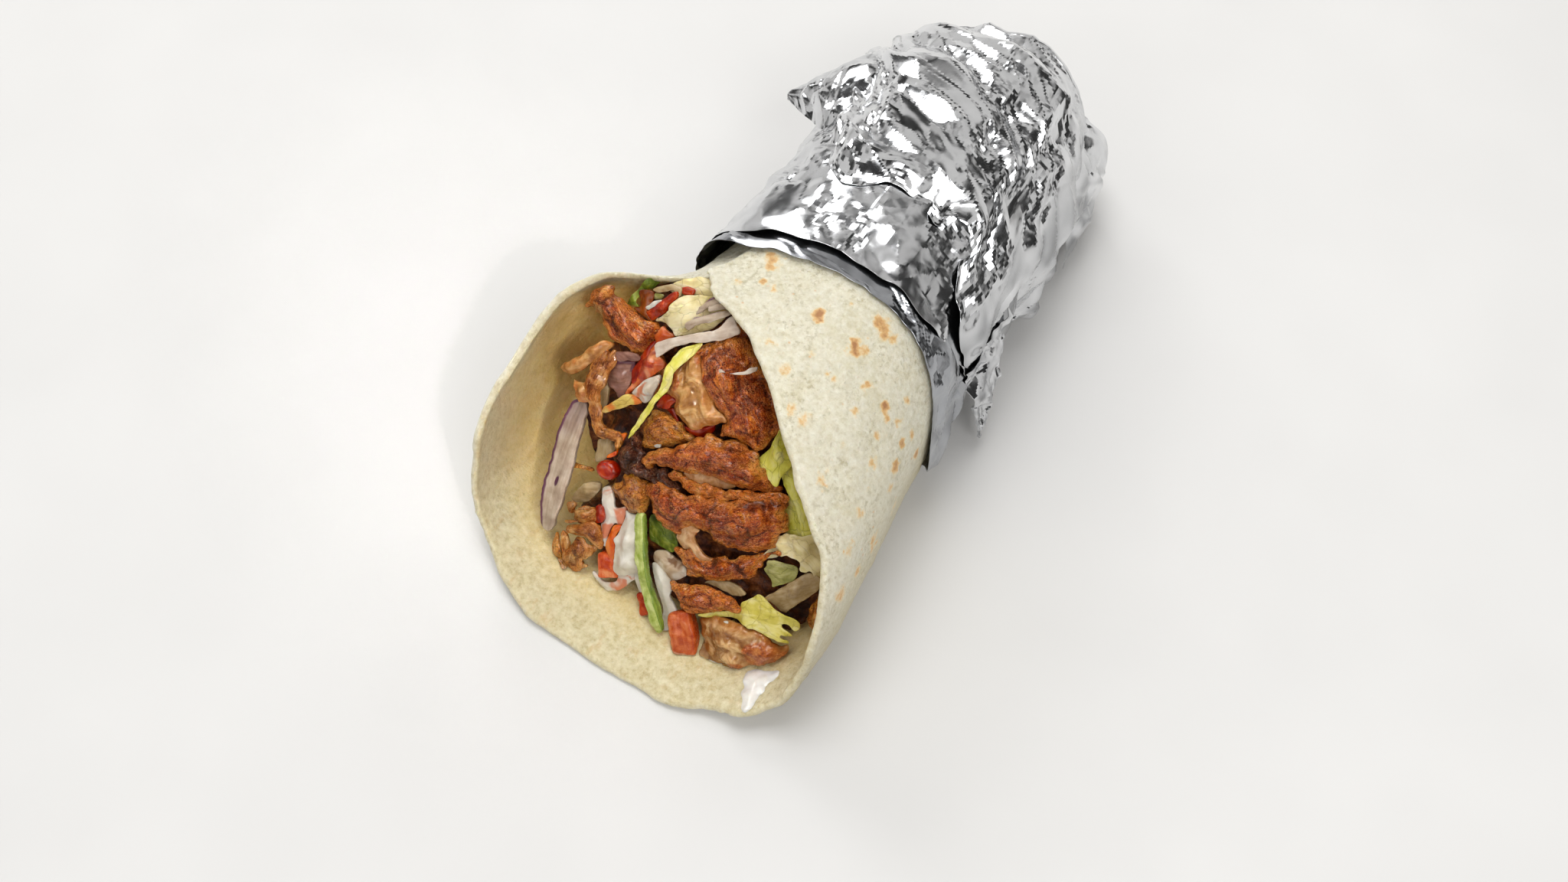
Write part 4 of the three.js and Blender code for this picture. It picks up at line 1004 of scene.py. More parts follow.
        (30.8, -6.8, 5), (32.6, -7.8, 4.6), (31.3, -11.3, 4.8), (29.5, -14.5, 4.8), (27.7, -17.4, 4.6),
        (27, -18.8, 4.4), (25.1, -18.9, 4.4), (22.8, -18.1, 4.4)],
    "onion_top": [(-25.7, 27.7, 8.4), (-24.1, 29.4, 8.8), (-21.3, 31.6, 9.2), (-18, 34.1, 9.6),
        (-15, 36, 9.6), (-12.9, 37.7, 9.4), (-12.1, 39.8, 8.8), (-11, 41.7, 8), (-9.6, 40.8, 7.6),
        (-7.9, 39.1, 7), (-9.1, 37.2, 7.6), (-10.6, 35.6, 8.4), (-12.5, 34.8, 9), (-14.6, 33.4, 9.4),
        (-17.2, 32.1, 9.6), (-19.5, 30.6, 9.6), (-21.8, 28.1, 9.4), (-24.1, 25, 8.6), (-24.9, 25.9, 8.4)],
    "orange_bit": [(-26.9, -1.9, 4.6), (-27.9, 0.6, 4.8), (-27.3, 2.7, 5), (-26, 3.3, 5), (-26, 1.8, 5),
        (-26.6, 0.1, 5), (-26.5, -1.4, 4.8)],
    "orange_low": [(-28.4, -4, 5), (-27.8, -2.8, 5.2), (-26.8, -1.6, 5), (-26.1, -2.3, 5.2),
        (-27.4, -3.8, 5.2)],
    "pale_end": [(-47.4, 11.3, 4.6), (-46.5, 12.9, 5.2), (-43.5, 16, 6), (-41.7, 19, 6.4), (-40.2, 20.9, 6.4),
        (-38.5, 22.3, 6), (-37, 21.9, 5.4), (-37.2, 20.7, 5.6), (-38.1, 19, 5.8), (-39.5, 16.9, 5.8),
        (-40.9, 14.4, 5.4), (-42.5, 11.8, 4.8), (-44.2, 10.7, 4.4), (-46.4, 10.4, 4.2)],
    "pale_leaf": [(18, -2.4, 5), (19.7, -0.6, 5.6), (23.5, 1, 6), (27, 2.1, 5), (29.4, -0.5, 5),
        (32.5, -7.8, 4), (30.9, -7.6, 4.6), (29, -5.9, 5), (26.6, -7, 5.4), (25.8, -4.7, 5.8),
        (23.3, -4.7, 6), (21.2, -5.7, 6.2), (18.7, -7.9, 6.4), (16.3, -8.2, 6.6), (17.8, -5.6, 6.6),
        (18.7, -4, 6)],
    "pale_top": [(-29.3, 31.7, 6), (-27.5, 34.2, 6.4), (-26.2, 35.8, 6.8), (-26.5, 36.8, 6.8),
        (-26, 38.6, 6.6), (-24.7, 40.2, 6), (-21.8, 41.9, 5.4), (-20, 42.6, 4.4), (-17.5, 43.1, 4),
        (-15.4, 42.5, 4), (-13.7, 40.4, 4.4), (-15.1, 36.3, 6), (-18.9, 33.4, 7), (-22.2, 31.3, 7.4),
        (-24.6, 32.3, 7), (-27.2, 32.2, 6.4)],
    "petal": [(-36.4, 13.2, 3), (-35.8, 17.2, 3.6), (-34.6, 18.8, 3.8), (-30.8, 20.1, 3.6),
        (-30.4, 18.2, 3.4), (-30, 15.2, 3), (-30.3, 11.9, 3), (-30.8, 10.3, 3), (-31.8, 9.9, 3),
        (-33.6, 11.1, 3), (-35.3, 11.4, 3)],
    "petal_low": [(-35.9, 4.3, 2), (-37.1, 8.6, 2.4), (-36.8, 12.5, 2.8), (-35.4, 11.3, 3),
        (-34.6, 10.6, 2.8), (-34.2, 6.5, 2.2)],
    "red_patch": [(-26.9, -17.3, 4.2), (-25.7, -16.1, 4.4), (-24.1, -17.6, 4.4), (-23.8, -19.6, 4.2),
        (-25.6, -20.8, 4)],
    "red_pool": [(-30.7, 18, 3.4), (-29.8, 20.6, 4), (-29, 24.7, 4.4), (-27.8, 27.2, 4.4), (-27, 26.6, 4.6),
        (-27.4, 24.9, 4.6), (-26.3, 23.6, 4.6), (-27.1, 21.5, 4.6), (-27.9, 18.5, 4.4), (-27.9, 16.3, 4.2),
        (-29.2, 14.9, 3.8), (-30.4, 16.6, 3.4)],
    "red_side": [(-21, 14, 6), (-19.6, 17.2, 6.6), (-17.1, 17.6, 7), (-16.2, 17, 7), (-17.2, 15.7, 6.8),
        (-17.8, 14.2, 6.6), (-20.3, 13.2, 6)],
    "red_under": [(-16.8, 14.8, 5.6), (-14, 12.5, 6), (-10.5, 12.2, 6), (-7.7, 14.4, 6), (-5.8, 15.8, 5.8),
        (-5.7, 13.7, 5.4), (-6.7, 11.8, 5.2), (-9.1, 10.9, 5.4), (-12, 11.4, 5.6), (-14.7, 12.3, 5.6),
        (-17.4, 13.2, 5.4), (-18.2, 13.8, 5.4)],
    "right_strip": [(13.7, 11.3, 5), (13.9, 14.8, 5), (16.2, 14.1, 4.6), (20.7, 9.5, 4.4), (23.5, 5.8, 4.4),
        (26, 2.8, 4.4), (25.1, 1.6, 5), (23.7, 0.5, 5.4), (21.9, 3.5, 5.6), (18.7, 7.1, 5.6),
        (15.7, 8.9, 5.4)],
    "right_under": [(14.6, 4.6, 3.6), (17.3, 7.7, 4), (21.7, 3.9, 4), (23.8, 0.2, 4), (20.8, -0.9, 3.6),
        (17.3, -0.2, 3.4)],
    "rim_sauce": [(-22.5, -33.4, 2), (-20.3, -34.9, 2.4), (-18, -36, 2.4), (-15.5, -35.3, 2.4),
        (-13.4, -33.5, 2.4), (-12, -30.9, 2.6), (-10.9, -29, 2.6), (-12.4, -27, 3), (-15.4, -29.9, 3),
        (-15.5, -32.2, 3), (-18.4, -34.2, 3), (-20.9, -33.3, 2.6)],
    "seed_left": [(-34.7, -33, 1.6), (-34.9, -29.7, 2), (-34.6, -28.6, 2.2), (-32.5, -31.4, 2.4),
        (-30.8, -34.9, 2), (-30.6, -37, 1.8), (-31.3, -38, 1.6), (-33.1, -36.2, 1.4)],
    "shred_band": [(-32.5, -26.5, 3.6), (-32, -24.9, 4.2), (-29.3, -22.9, 4.8), (-26.8, -21.2, 5),
        (-23.8, -20.9, 5), (-22.6, -22.8, 4.6), (-21.7, -26.1, 3.8), (-23.4, -26.3, 4), (-26.6, -25.8, 4.2),
        (-29.1, -26.2, 4), (-31.7, -27.4, 3.4)],
    "shred_dark": [(-32.1, -21.7, 4), (-30.8, -19.5, 4.6), (-28.8, -18, 4.8), (-26.7, -17.7, 4.8),
        (-25.8, -19.4, 4.6), (-26, -21, 4.2), (-28.5, -22.6, 4.2), (-31.2, -23.1, 4)],
    "shred_low": [(-31.1, -33.7, 2.4), (-29.5, -29.6, 3.6), (-28.9, -26.7, 4), (-27.1, -26.1, 4.2),
        (-25.7, -27.4, 4.2), (-23.4, -26.7, 3.8), (-23.7, -29.6, 3.4), (-25.5, -31.9, 3), (-24.1, -32.8, 2.6),
        (-26.6, -35.9, 2), (-28.6, -35.9, 2), (-29.8, -35, 2)],
    "slab_front": [(-1.5, -25.4, 5.6), (-1.5, -24.4, 5.8), (0.2, -23.6, 6.2), (2.9, -22.6, 6.6),
        (5.6, -21.7, 6.8), (8.6, -20.7, 7), (11.7, -20.3, 7.2), (14, -20.6, 7), (15.1, -21.2, 6.8),
        (16.6, -22.4, 6.4), (16.4, -23.3, 6.2), (13.7, -24.5, 6.4), (11.1, -26.2, 6.2), (7.4, -28.7, 6),
        (5.4, -29.9, 5.6), (3.7, -29.9, 5.4), (2, -29.1, 5.4), (1.4, -27.5, 5.4), (-0.2, -26.7, 5.4)],
    "slab_lower": [(-3.9, -16.7, 6), (-2.5, -15.5, 6.4), (-0.2, -15.2, 6.6), (3.2, -15.1, 6.8), (6.3, -14, 7),
        (8.4, -12.3, 7), (10.9, -11.4, 7), (13.4, -9.5, 7), (16, -7.5, 7), (20.4, -5, 6.6), (21, -5.5, 6.4),
        (18.6, -7.5, 6.6), (16.9, -9.7, 6.6), (17.5, -9.9, 6.4), (16.9, -11.8, 6.2), (16.8, -13.4, 6),
        (14.4, -14.8, 6.2), (12.5, -16.3, 6.2), (10.9, -18, 6), (8, -19.3, 6), (4.9, -20.3, 5.8),
        (2.8, -20.9, 5.6), (1, -20.8, 5.6), (-1.3, -18.5, 5.8)],
    "slab_middle": [(-14.9, -7.3, 7), (-15.6, -4.3, 7), (-13.7, -3.5, 7.4), (-10.1, -2.7, 8),
        (-6.5, -2.6, 8.4), (-2.8, -0.9, 8.6), (1.3, 0.2, 8.8), (5.7, 2, 8.4), (9.8, 4.8, 7.6),
        (14.6, 7.1, 6.2), (17.8, 6.7, 5.4), (17.6, 4, 6.2), (19.8, 2.3, 5.8), (20.4, 0.4, 5.8),
        (18.9, -1.4, 6.6), (19.1, -4.2, 6.4), (16.8, -6.1, 7), (13.6, -8, 7.4), (10, -9.2, 7.8),
        (7.7, -9.5, 8), (4, -9.1, 8.2), (1.3, -8.8, 8.2), (-1, -8.8, 8.2), (-3, -11.8, 7.4), (-4.3, -13.1, 7),
        (-6.4, -13, 7), (-8.8, -11.9, 7), (-11.2, -10.9, 7), (-12.7, -9.1, 7)],
    "slab_upper": [(-18.7, 0.1, 7), (-18.5, 2.6, 7.4), (-16.3, 4.7, 7.8), (-13.4, 6.6, 8.2),
        (-10.3, 9.3, 8.6), (-7.9, 11.7, 8.8), (-4.8, 13.9, 9), (-1.5, 14.7, 8.8), (1.5, 15.9, 8.6),
        (3.7, 15.4, 8.2), (6.9, 14.7, 7.8), (8, 12.8, 7.2), (10.4, 11.5, 6.4), (13.3, 9.7, 5.6),
        (14.8, 8.2, 5), (11.2, 6.4, 6), (5.5, 5.2, 7.6), (1.7, 5.1, 8.4), (-2.3, 4.8, 8.6), (-5.6, 3, 8.4),
        (-6.9, 3.3, 8.4), (-10, 2.4, 8.2), (-13.3, 1.7, 8), (-15.9, 0.7, 7.6), (-16.6, -1.6, 6.6),
        (-17.6, -1.6, 6.6)],
    "sliver_right": [(31.4, -17.2, 2), (31.5, -14.7, 2.4), (32.5, -12.3, 2.6), (33.2, -10.4, 2.4),
        (36.9, -19.4, 1.8), (36.5, -22.1, 1.6), (34.7, -21.6, 1.6), (33.2, -20.1, 1.8)],
    "square": [(18.5, -11.2, 5.4), (18.6, -10.1, 5.6), (18.9, -8, 5.8), (23.2, -7.1, 5.6), (25.5, -6.6, 5.4),
        (26.1, -7.9, 5.2), (25.8, -10.3, 5), (24.7, -11.2, 5), (22, -14, 5), (21.1, -13.1, 5.2)],
    "stream": [(-27, -12.1, 3.6), (-25.8, -10.9, 4), (-24.7, -11.2, 4), (-23.4, -13.5, 4), (-22.2, -15.3, 4),
        (-19.7, -13.7, 4), (-19.1, -16.1, 4), (-18.9, -18.1, 4), (-20.9, -18.8, 3.8), (-21.2, -19.6, 3.8),
        (-21.5, -21.5, 3.6), (-21.5, -24, 3.4), (-21.2, -25.6, 3.4), (-22.4, -25.1, 3.2), (-23.6, -22.7, 3.4),
        (-24.4, -21, 3.4), (-23.8, -19.5, 3.6), (-24.5, -17.6, 3.8), (-25.7, -16.2, 3.8),
        (-26.5, -14.2, 3.6)],
    "stream_red": [(-20.7, -19.2, 4.4), (-19.1, -18.3, 4.6), (-18.6, -19, 4.6), (-19.1, -20.7, 4.6),
        (-19, -22.5, 4.6), (-18.1, -24.4, 4.4), (-17.8, -27.1, 4), (-19.1, -27.1, 4), (-20.6, -25.8, 4),
        (-21.1, -23.9, 4.2), (-20.9, -21.1, 4.4)],
    "strip": [(-17.2, 31.3, 10), (-15.1, 33.1, 9.6), (-14.7, 33.6, 9.4), (-15.2, 31.2, 10),
        (-16.3, 27.9, 10.8), (-17.8, 25.2, 11.2), (-18.1, 22.9, 11.2), (-17.9, 21.1, 11), (-18.4, 18.9, 10.6),
        (-19.7, 15.8, 10), (-20.5, 13.2, 9.4), (-21.3, 10.5, 8.8), (-22, 8.1, 8.2), (-23.1, 5.7, 7.6),
        (-24.1, 3.3, 7), (-24.5, 2.8, 6.8), (-24.5, 3.9, 6.8), (-24.1, 6.4, 7.2), (-23.4, 9.1, 8),
        (-22.4, 12.7, 8.8), (-20.8, 17.1, 9.8), (-20.4, 19.5, 10.4), (-20.5, 22.2, 10.8), (-20.7, 24.3, 10.8),
        (-20.1, 26.6, 10.6), (-18.9, 30.1, 10.2)],
    "tip": [(-33.9, 5.6, 5), (-33.2, 7.5, 5.4), (-31.5, 9.4, 5.8), (-29.7, 11.9, 6), (-27.7, 13.2, 6),
        (-25.7, 12.7, 5.8), (-24.6, 12.4, 5.6), (-26.5, 11, 5.6), (-28.8, 9.1, 5.6), (-30.9, 7.2, 5.4),
        (-32.7, 5.7, 5)],
    "tongue": [(-19.2, -14.2, 4.6), (-17.8, -14.3, 5), (-15.7, -13.7, 5.4), (-14.6, -16.1, 5.6),
        (-12.7, -19.5, 5.8), (-10.9, -22.5, 5.6), (-9.4, -25.5, 5), (-10.5, -27, 4.6), (-12.9, -28.9, 4.4),
        (-14.6, -30.3, 4.2), (-16.2, -30.1, 4.2), (-17.1, -29.1, 4.2), (-17.7, -26.3, 4.6),
        (-18.3, -23.2, 4.8), (-19.1, -22.1, 4.8), (-18.9, -20.3, 4.8), (-18.8, -18.1, 4.8),
        (-18.9, -15.8, 4.6)],
    "top_green": [(-38.6, 31.5, 1.6), (-37.7, 34.7, 2), (-37, 37, 2), (-35.7, 39.4, 1.6), (-33.8, 40.2, 1.6),
        (-32.9, 40.4, 1.4), (-33.8, 37.8, 2), (-34.5, 37.1, 2.2), (-35.9, 36.3, 2.4), (-35.8, 33.8, 2.4),
        (-34.7, 32.7, 2), (-36.7, 32.1, 2)],
    "top_left": [(-48, 27.3, 3.4), (-47.3, 30, 4), (-45.8, 32.5, 4.4), (-44.1, 34, 4.6), (-42.6, 34.5, 4.6),
        (-41.2, 33.6, 4.8), (-38.7, 32.5, 4.8), (-34.8, 31.5, 4.8), (-31.3, 30.8, 4.8), (-29.1, 30.8, 4.8),
        (-26.4, 30.9, 4.6), (-26.2, 30, 4.2), (-27.8, 28.7, 4), (-27.8, 26.7, 4), (-28.7, 24.5, 3.8),
        (-30.5, 22.3, 3.8), (-32.6, 22.4, 4), (-35.4, 22.5, 4.2), (-37.6, 22.6, 4.2), (-39.2, 23.5, 4.4),
        (-40.6, 24.9, 4.4), (-42.5, 26.6, 4.2), (-45.6, 27.6, 3.8), (-46.9, 26.6, 3.4)],
    "white_left": [(-11.8, -28.5, 3), (-10.1, -26.6, 3.4), (-7.1, -29.5, 3.4), (-4.6, -32.8, 3),
        (-2.1, -36.2, 2.4), (0.5, -38.6, 2), (-1.3, -38.7, 2), (-4.8, -36.9, 2), (-7.3, -33.5, 2.4),
        (-10, -31.3, 2.6)],
    "white_right": [(-8.2, -23.1, 4.4), (-5.8, -23.2, 4.6), (-3.1, -24.4, 4.6), (-1.1, -26.1, 4.4),
        (-1, -28.8, 4.4), (1.4, -31.2, 4), (3.3, -32.2, 3.6), (2.2, -35.2, 3), (1.8, -37.8, 2.6),
        (0.8, -38.8, 2.4), (-1, -37.4, 2.8), (-1.8, -33.1, 3.4), (-3.4, -30.2, 3.8), (-5.8, -26.8, 4.2)],
}
# Places within them that stand higher.
PEAKS = {
    "back_fill": [(-22.2, 42.3, 3.2)],
    "nub_a": [(-32.7, -20, 4.6)],
    "red_area": [(-26.6, 21.8, 5.8)],
    "red_strip": [(-28.1, 36, 6.2)],
    "wall_blob": [(-31.2, -15.5, 2)],
    "arch_flake": [(-39.3, 8.4, 6.6)],
    "bark": [(-22.1, -0.1, 6.4), (-17.1, -1.8, 6), (-12.5, -2.5, 5.6)],
    "blob": [(-23.8, 16.7, 7.4)],
    "chunk": [(-5.2, 27.6, 10.5), (-0.3, 24.5, 9.5), (3.2, 19.5, 9.5), (-9.7, 30.6, 9.5), (4.6, 23.9, 7.5)],
    "chunk_lip": [(16.4, -30.4, 6.2), (22.7, -29.4, 6.8), (19.5, -34.9, 5.4), (26.8, -29, 5.4)],
    "dark_leaf": [(-8, -15.8, 4.4)],
    "drape": [
        (-12.6, 22.7, 10.6), (-12.5, 17.3, 9.8), (-8.1, 16.9, 10.4), (-16.8, 21, 8.6), (-5.6, 19.2, 10.6),
    ],
    "fat_bridge": [(-1.3, -12.5, 7.4)],
    "fat_strip": [(-1.8, 3.6, 8.8)],
    "folded": [(11.5, 16, 7.6)],
    "middle_fold": [(-3, 0.7, 9.6), (4.6, 2.9, 10)],
    "nub_golden": [(-18.7, 9.7, 8), (-15.1, 9.8, 8), (-11.8, 9.7, 7.6)],
    "nub_lower": [(-18.5, -8.3, 7.2), (-16, -9.2, 6.6)],
    "onion_right": [(27.2, -12.6, 5.8)],
    "pale_end": [(-42.4, 14.6, 7), (-39.8, 18.9, 7.2)],
    "pale_leaf": [(24.9, -1.5, 7)],
    "pale_top": [(-23.5, 38.3, 7.6), (-20.8, 35.4, 8)],
    "petal": [(-32.9, 15.6, 4.6)],
    "seed_left": [(-32.4, -33, 3)],
    "shred_band": [(-28.4, -23.9, 5.8), (-24.3, -23.3, 5.8)],
    "shred_dark": [(-28.4, -19.7, 6)],
    "shred_low": [(-27.2, -29.6, 5)],
    "slab_front": [(6.6, -24.7, 7.8), (12.4, -22.6, 8)],
    "slab_lower": [(3.5, -17.1, 8.2), (9.8, -14.6, 8.6), (14, -11.7, 8.2)],
    "slab_middle": [
        (-4.2, -6.1, 10.2), (3.6, -3.6, 11), (9.9, -2.4, 10.8), (13.4, 1.6, 9.8), (-9.2, -5.5, 9.2),
    ],
    "slab_upper": [(-3.1, 9.5, 11.2), (2.9, 11.6, 11), (-9.5, 6.4, 9.8), (8, 10.2, 8.8)],
    "sliver_right": [(34, -16.4, 3)],
    "square": [(22.9, -9.7, 6)],
    "tongue": [(-14.9, -20.5, 6.4), (-13.7, -26, 5.8)],
    "top_left": [(-43.3, 32.1, 6.4), (-39.8, 29.9, 6.6), (-34, 28.3, 7), (-29.8, 27.1, 6.4)],
}
# The middle of the thin strip that arches over the left.
ARCH = [
    (-37.3, 20.8, 5), (-37.6, 17.1, 5.4), (-38.1, 12.5, 5.6), (-37.8, 8.7, 5.4), (-36.4, 5.9, 5),
    (-35, 3.4, 4.8), (-34.4, 2.3, 4.6), (-32, 0.6, 4.4), (-29.1, 1.1, 4.4), (-27.1, 1.5, 4.4),
    (-26.9, -1.3, 4.4),
]


# --- Cut and torn shapes -----------------------------------------------------------------------

EDGE_STEP = 0.45  # between the points of a cut edge
BLANK = 1.2  # half the thickness of the flat blank that a sheet is shaped from
FINE = 0.30  # cell of the finest skins
MEAT_CELL = 0.34
SHRED_CELL = 0.32
AT_ONCE = 6000  # places measured together, to save memory


def edge_distance(points, loop):
    """How far places on the flat are from a closed loop's nearest side."""
    side = np.roll(loop, -1, 0) - loop
    length = np.maximum((side**2).sum(1), 1e-9)
    found = []
    for start in range(0, len(points), AT_ONCE):
        offset = points[start:start + AT_ONCE, None] - loop[None]
        share = np.clip((offset * side).sum(-1) / length, 0, 1)
        found.append(np.linalg.norm(offset - share[..., None] * side, axis=-1).min(1))
    return np.concatenate(found)


def cut_out(shape, thick, seed, jag, edge, fall, voxel, deep, ruffle, wave):
    """A closed sheet over an outline: points, faces, how far in from the edge, and top or underside."""
    outline = np.array(OUTLINES[shape], float)
    around = np.linalg.norm(np.diff(outline, axis=0, append=outline[:1]), axis=1).sum()
    loop = spline(outline, int(around / EDGE_STEP), True)
    tangent = unit((np.roll(loop, -1, 0) - np.roll(loop, 1, 0))[:, :2])
    ragged = noise(loop, 1.7, seed) * jag + noise(loop, 0.8, seed + 1) * jag * 0.6
    flat = loop[:, :2] + np.stack([tangent[:, 1], -tangent[:, 0]], 1) * ragged[:, None]
    count, k = len(flat), np.arange(len(flat))
    prism = np.concatenate([np.insert(flat, 2, height, axis=1) for height in (BLANK, -BLANK)])
    after = (k + 1) % count
    faces = [tuple(k), tuple(k[::-1] + count), *zip(k, k + count, after + count, after)]
    points, quads, _ = fused([(prism, faces)], voxel)
    known = np.array(OUTLINES[shape] + PEAKS.get(shape, []), float)
    weight = 1 / (((points[:, None, :2] - known[None, :, :2]) ** 2).sum(-1) + 0.6) ** 1.6
    level = (weight * known[:, 2]).sum(1) / weight.sum(1)
    inset = edge_distance(points[:, :2], flat)
    if ruffle:
        freer = mix(0.35, 1.0, np.exp(-inset / 2.5))
        level = level + noise(points * (1, 1, 0), wave, seed + 8) * ruffle * freer
    side = np.clip(points[:, 2] / 1.1, -1, 1)
    half = edge + (thick / 2 - edge) * (1 - np.exp(-inset / fall))
    belly = deep * (1 - np.exp(-inset / 2.0)) * np.maximum(-side, 0)
    return np.column_stack([points[:, :2], level + side * half - belly]), quads, inset, side


# --- Roast meat --------------------------------------------------------------------------------

def roast_skin(points, quads, normals, grain, seed, coarse, inset, bare, browned, strength, stretch):
    """Wrinkles, folds and pebbles on a piece of meat, and where it is browned and thin, and the groove
    bottoms that the finishes darken as painted shade.
    """
    warp = np.stack([noise(points, 4.0, seed + n) for n in (1, 2, 3)], 1) * 0.9
    fold = np.abs(noise((grain + warp) / (stretch, 1.0, 1.0), 3.2 * coarse, seed + 12))
    wrinkle = np.abs(noise((grain + warp) / (stretch, 1.0, 1.0), 1.3 * coarse, seed + 11))
    pebble = np.abs(noise(points + warp * 0.5, 0.85 * coarse, seed + 13))
    swell = noise(points, 5.5, seed + 14)
    height = 0.85 * fold + 0.40 * wrinkle + 0.20 * pebble
    held = mix(0.35, 1.0, smooth(0.0, 1.6, inset))
    points = points + normals * (((height - 0.40) * coarse * strength + 0.40 * swell) * held)[:, None]
    patch = rough(points, 5.5, seed + 15)
    crust = smooth(-0.3, 0.4, 0.7 + 0.5 * patch - bare)
    for a, b, reach in browned:
        away = np.hypot(points[:, 0] - a, points[:, 1] - b) / reach
        crust = np.maximum(crust, smooth(1.25, 0.6, away + 0.3 * patch))
    # Painted shade: the bottoms of the wrinkles and folds, which the finishes darken.
    hollow = np.maximum(smooth(0.10, 0.0, wrinkle + 0.04 * patch) * 0.7, smooth(0.16, 0.0, fold))
    fields = {"grain": grain, "crust": crust, "hollow": hollow, "thin": smooth(2.4, 0.2, inset + 0.9 * patch)}
    return points, quads, fields


def slab(shape, thick, grain, seed, coarse=1.0, jag=0.4, edge=0.25, fall=1.4, deep=2.0, bare=0.0, browned=(),
         strength=1.0, stretch=2.4):
    """A torn slab of meat over an outline, with its fibres along the grain's path."""
    points, quads, inset, side = cut_out(shape, thick, seed, jag, edge, fall, MEAT_CELL, deep, 0.5, 4.5)
    out = np.column_stack([side * 0, side * 0, side])
    along = Line(grain).local(points)
    return roast_skin(points, quads, out, along, seed, coarse, inset, bare, browned, strength, stretch)


def shred(path, wide, thick, roll, seed, strands=3, torn=0.08, bare=0.2):
    """A torn strip of meat: a few strands on a body, fused."""
    line = Line(path, roll)
    chance = np.random.default_rng(seed)
    wide, thick = np.asarray(wide, float), np.asarray(thick, float)
    parts = [bar(line, wide * 0.9, thick * 0.8, seed, 0.25, 1.0, 0.02, 0.98)]
    width, depth = float(np.mean(wide)), float(np.mean(thick))
    for k in range(strands):
        place = ((k + 0.5) / strands - 0.5) * 0.84
        crown = depth * (0.16 - 0.42 * place**2)
        jitter = chance.uniform(-1, 1, 8)
        sway = np.array([0.2 * jitter[4], 0.5 * jitter[5], 0.3 * jitter[6]]) * width / strands
        parts.append(bar(
            line, wide / strands * (1.7 + 0.4 * jitter[2]), depth * (0.50 + 0.14 * jitter[3]), seed + k,
            0.3, 0.95, -torn * jitter[0], 1 + torn * jitter[1],
            across=along_list(wide, np.linspace(0, 1, 3)) * place + sway,
            out=(crown + 0.3 * jitter[6], crown + 0.4 * jitter[7], crown + 0.3 * jitter[5]),
        ))
    points, quads, normals = fused(parts, SHRED_CELL)
    grain = line.local(points)
    half = np.maximum(along_list(wide, np.clip(grain[:, 0] / line.length, 0, 1)) / 2, 0.5)
    ends = (0.5 - np.abs(grain[:, 0] / line.length - 0.5)) * line.length
    inset = np.maximum(np.minimum(half - np.abs(grain[:, 1]), ends), 0) + 0.4
    return roast_skin(points, quads, normals, grain, seed, 0.9, inset, bare, (), 0.5, 6.0)


def meat(name, finish, *skins):
    """A piece of meat that stands in for the solid of the same name."""
    heap_piece(f"{name}_roasted", skins, finish, [name])


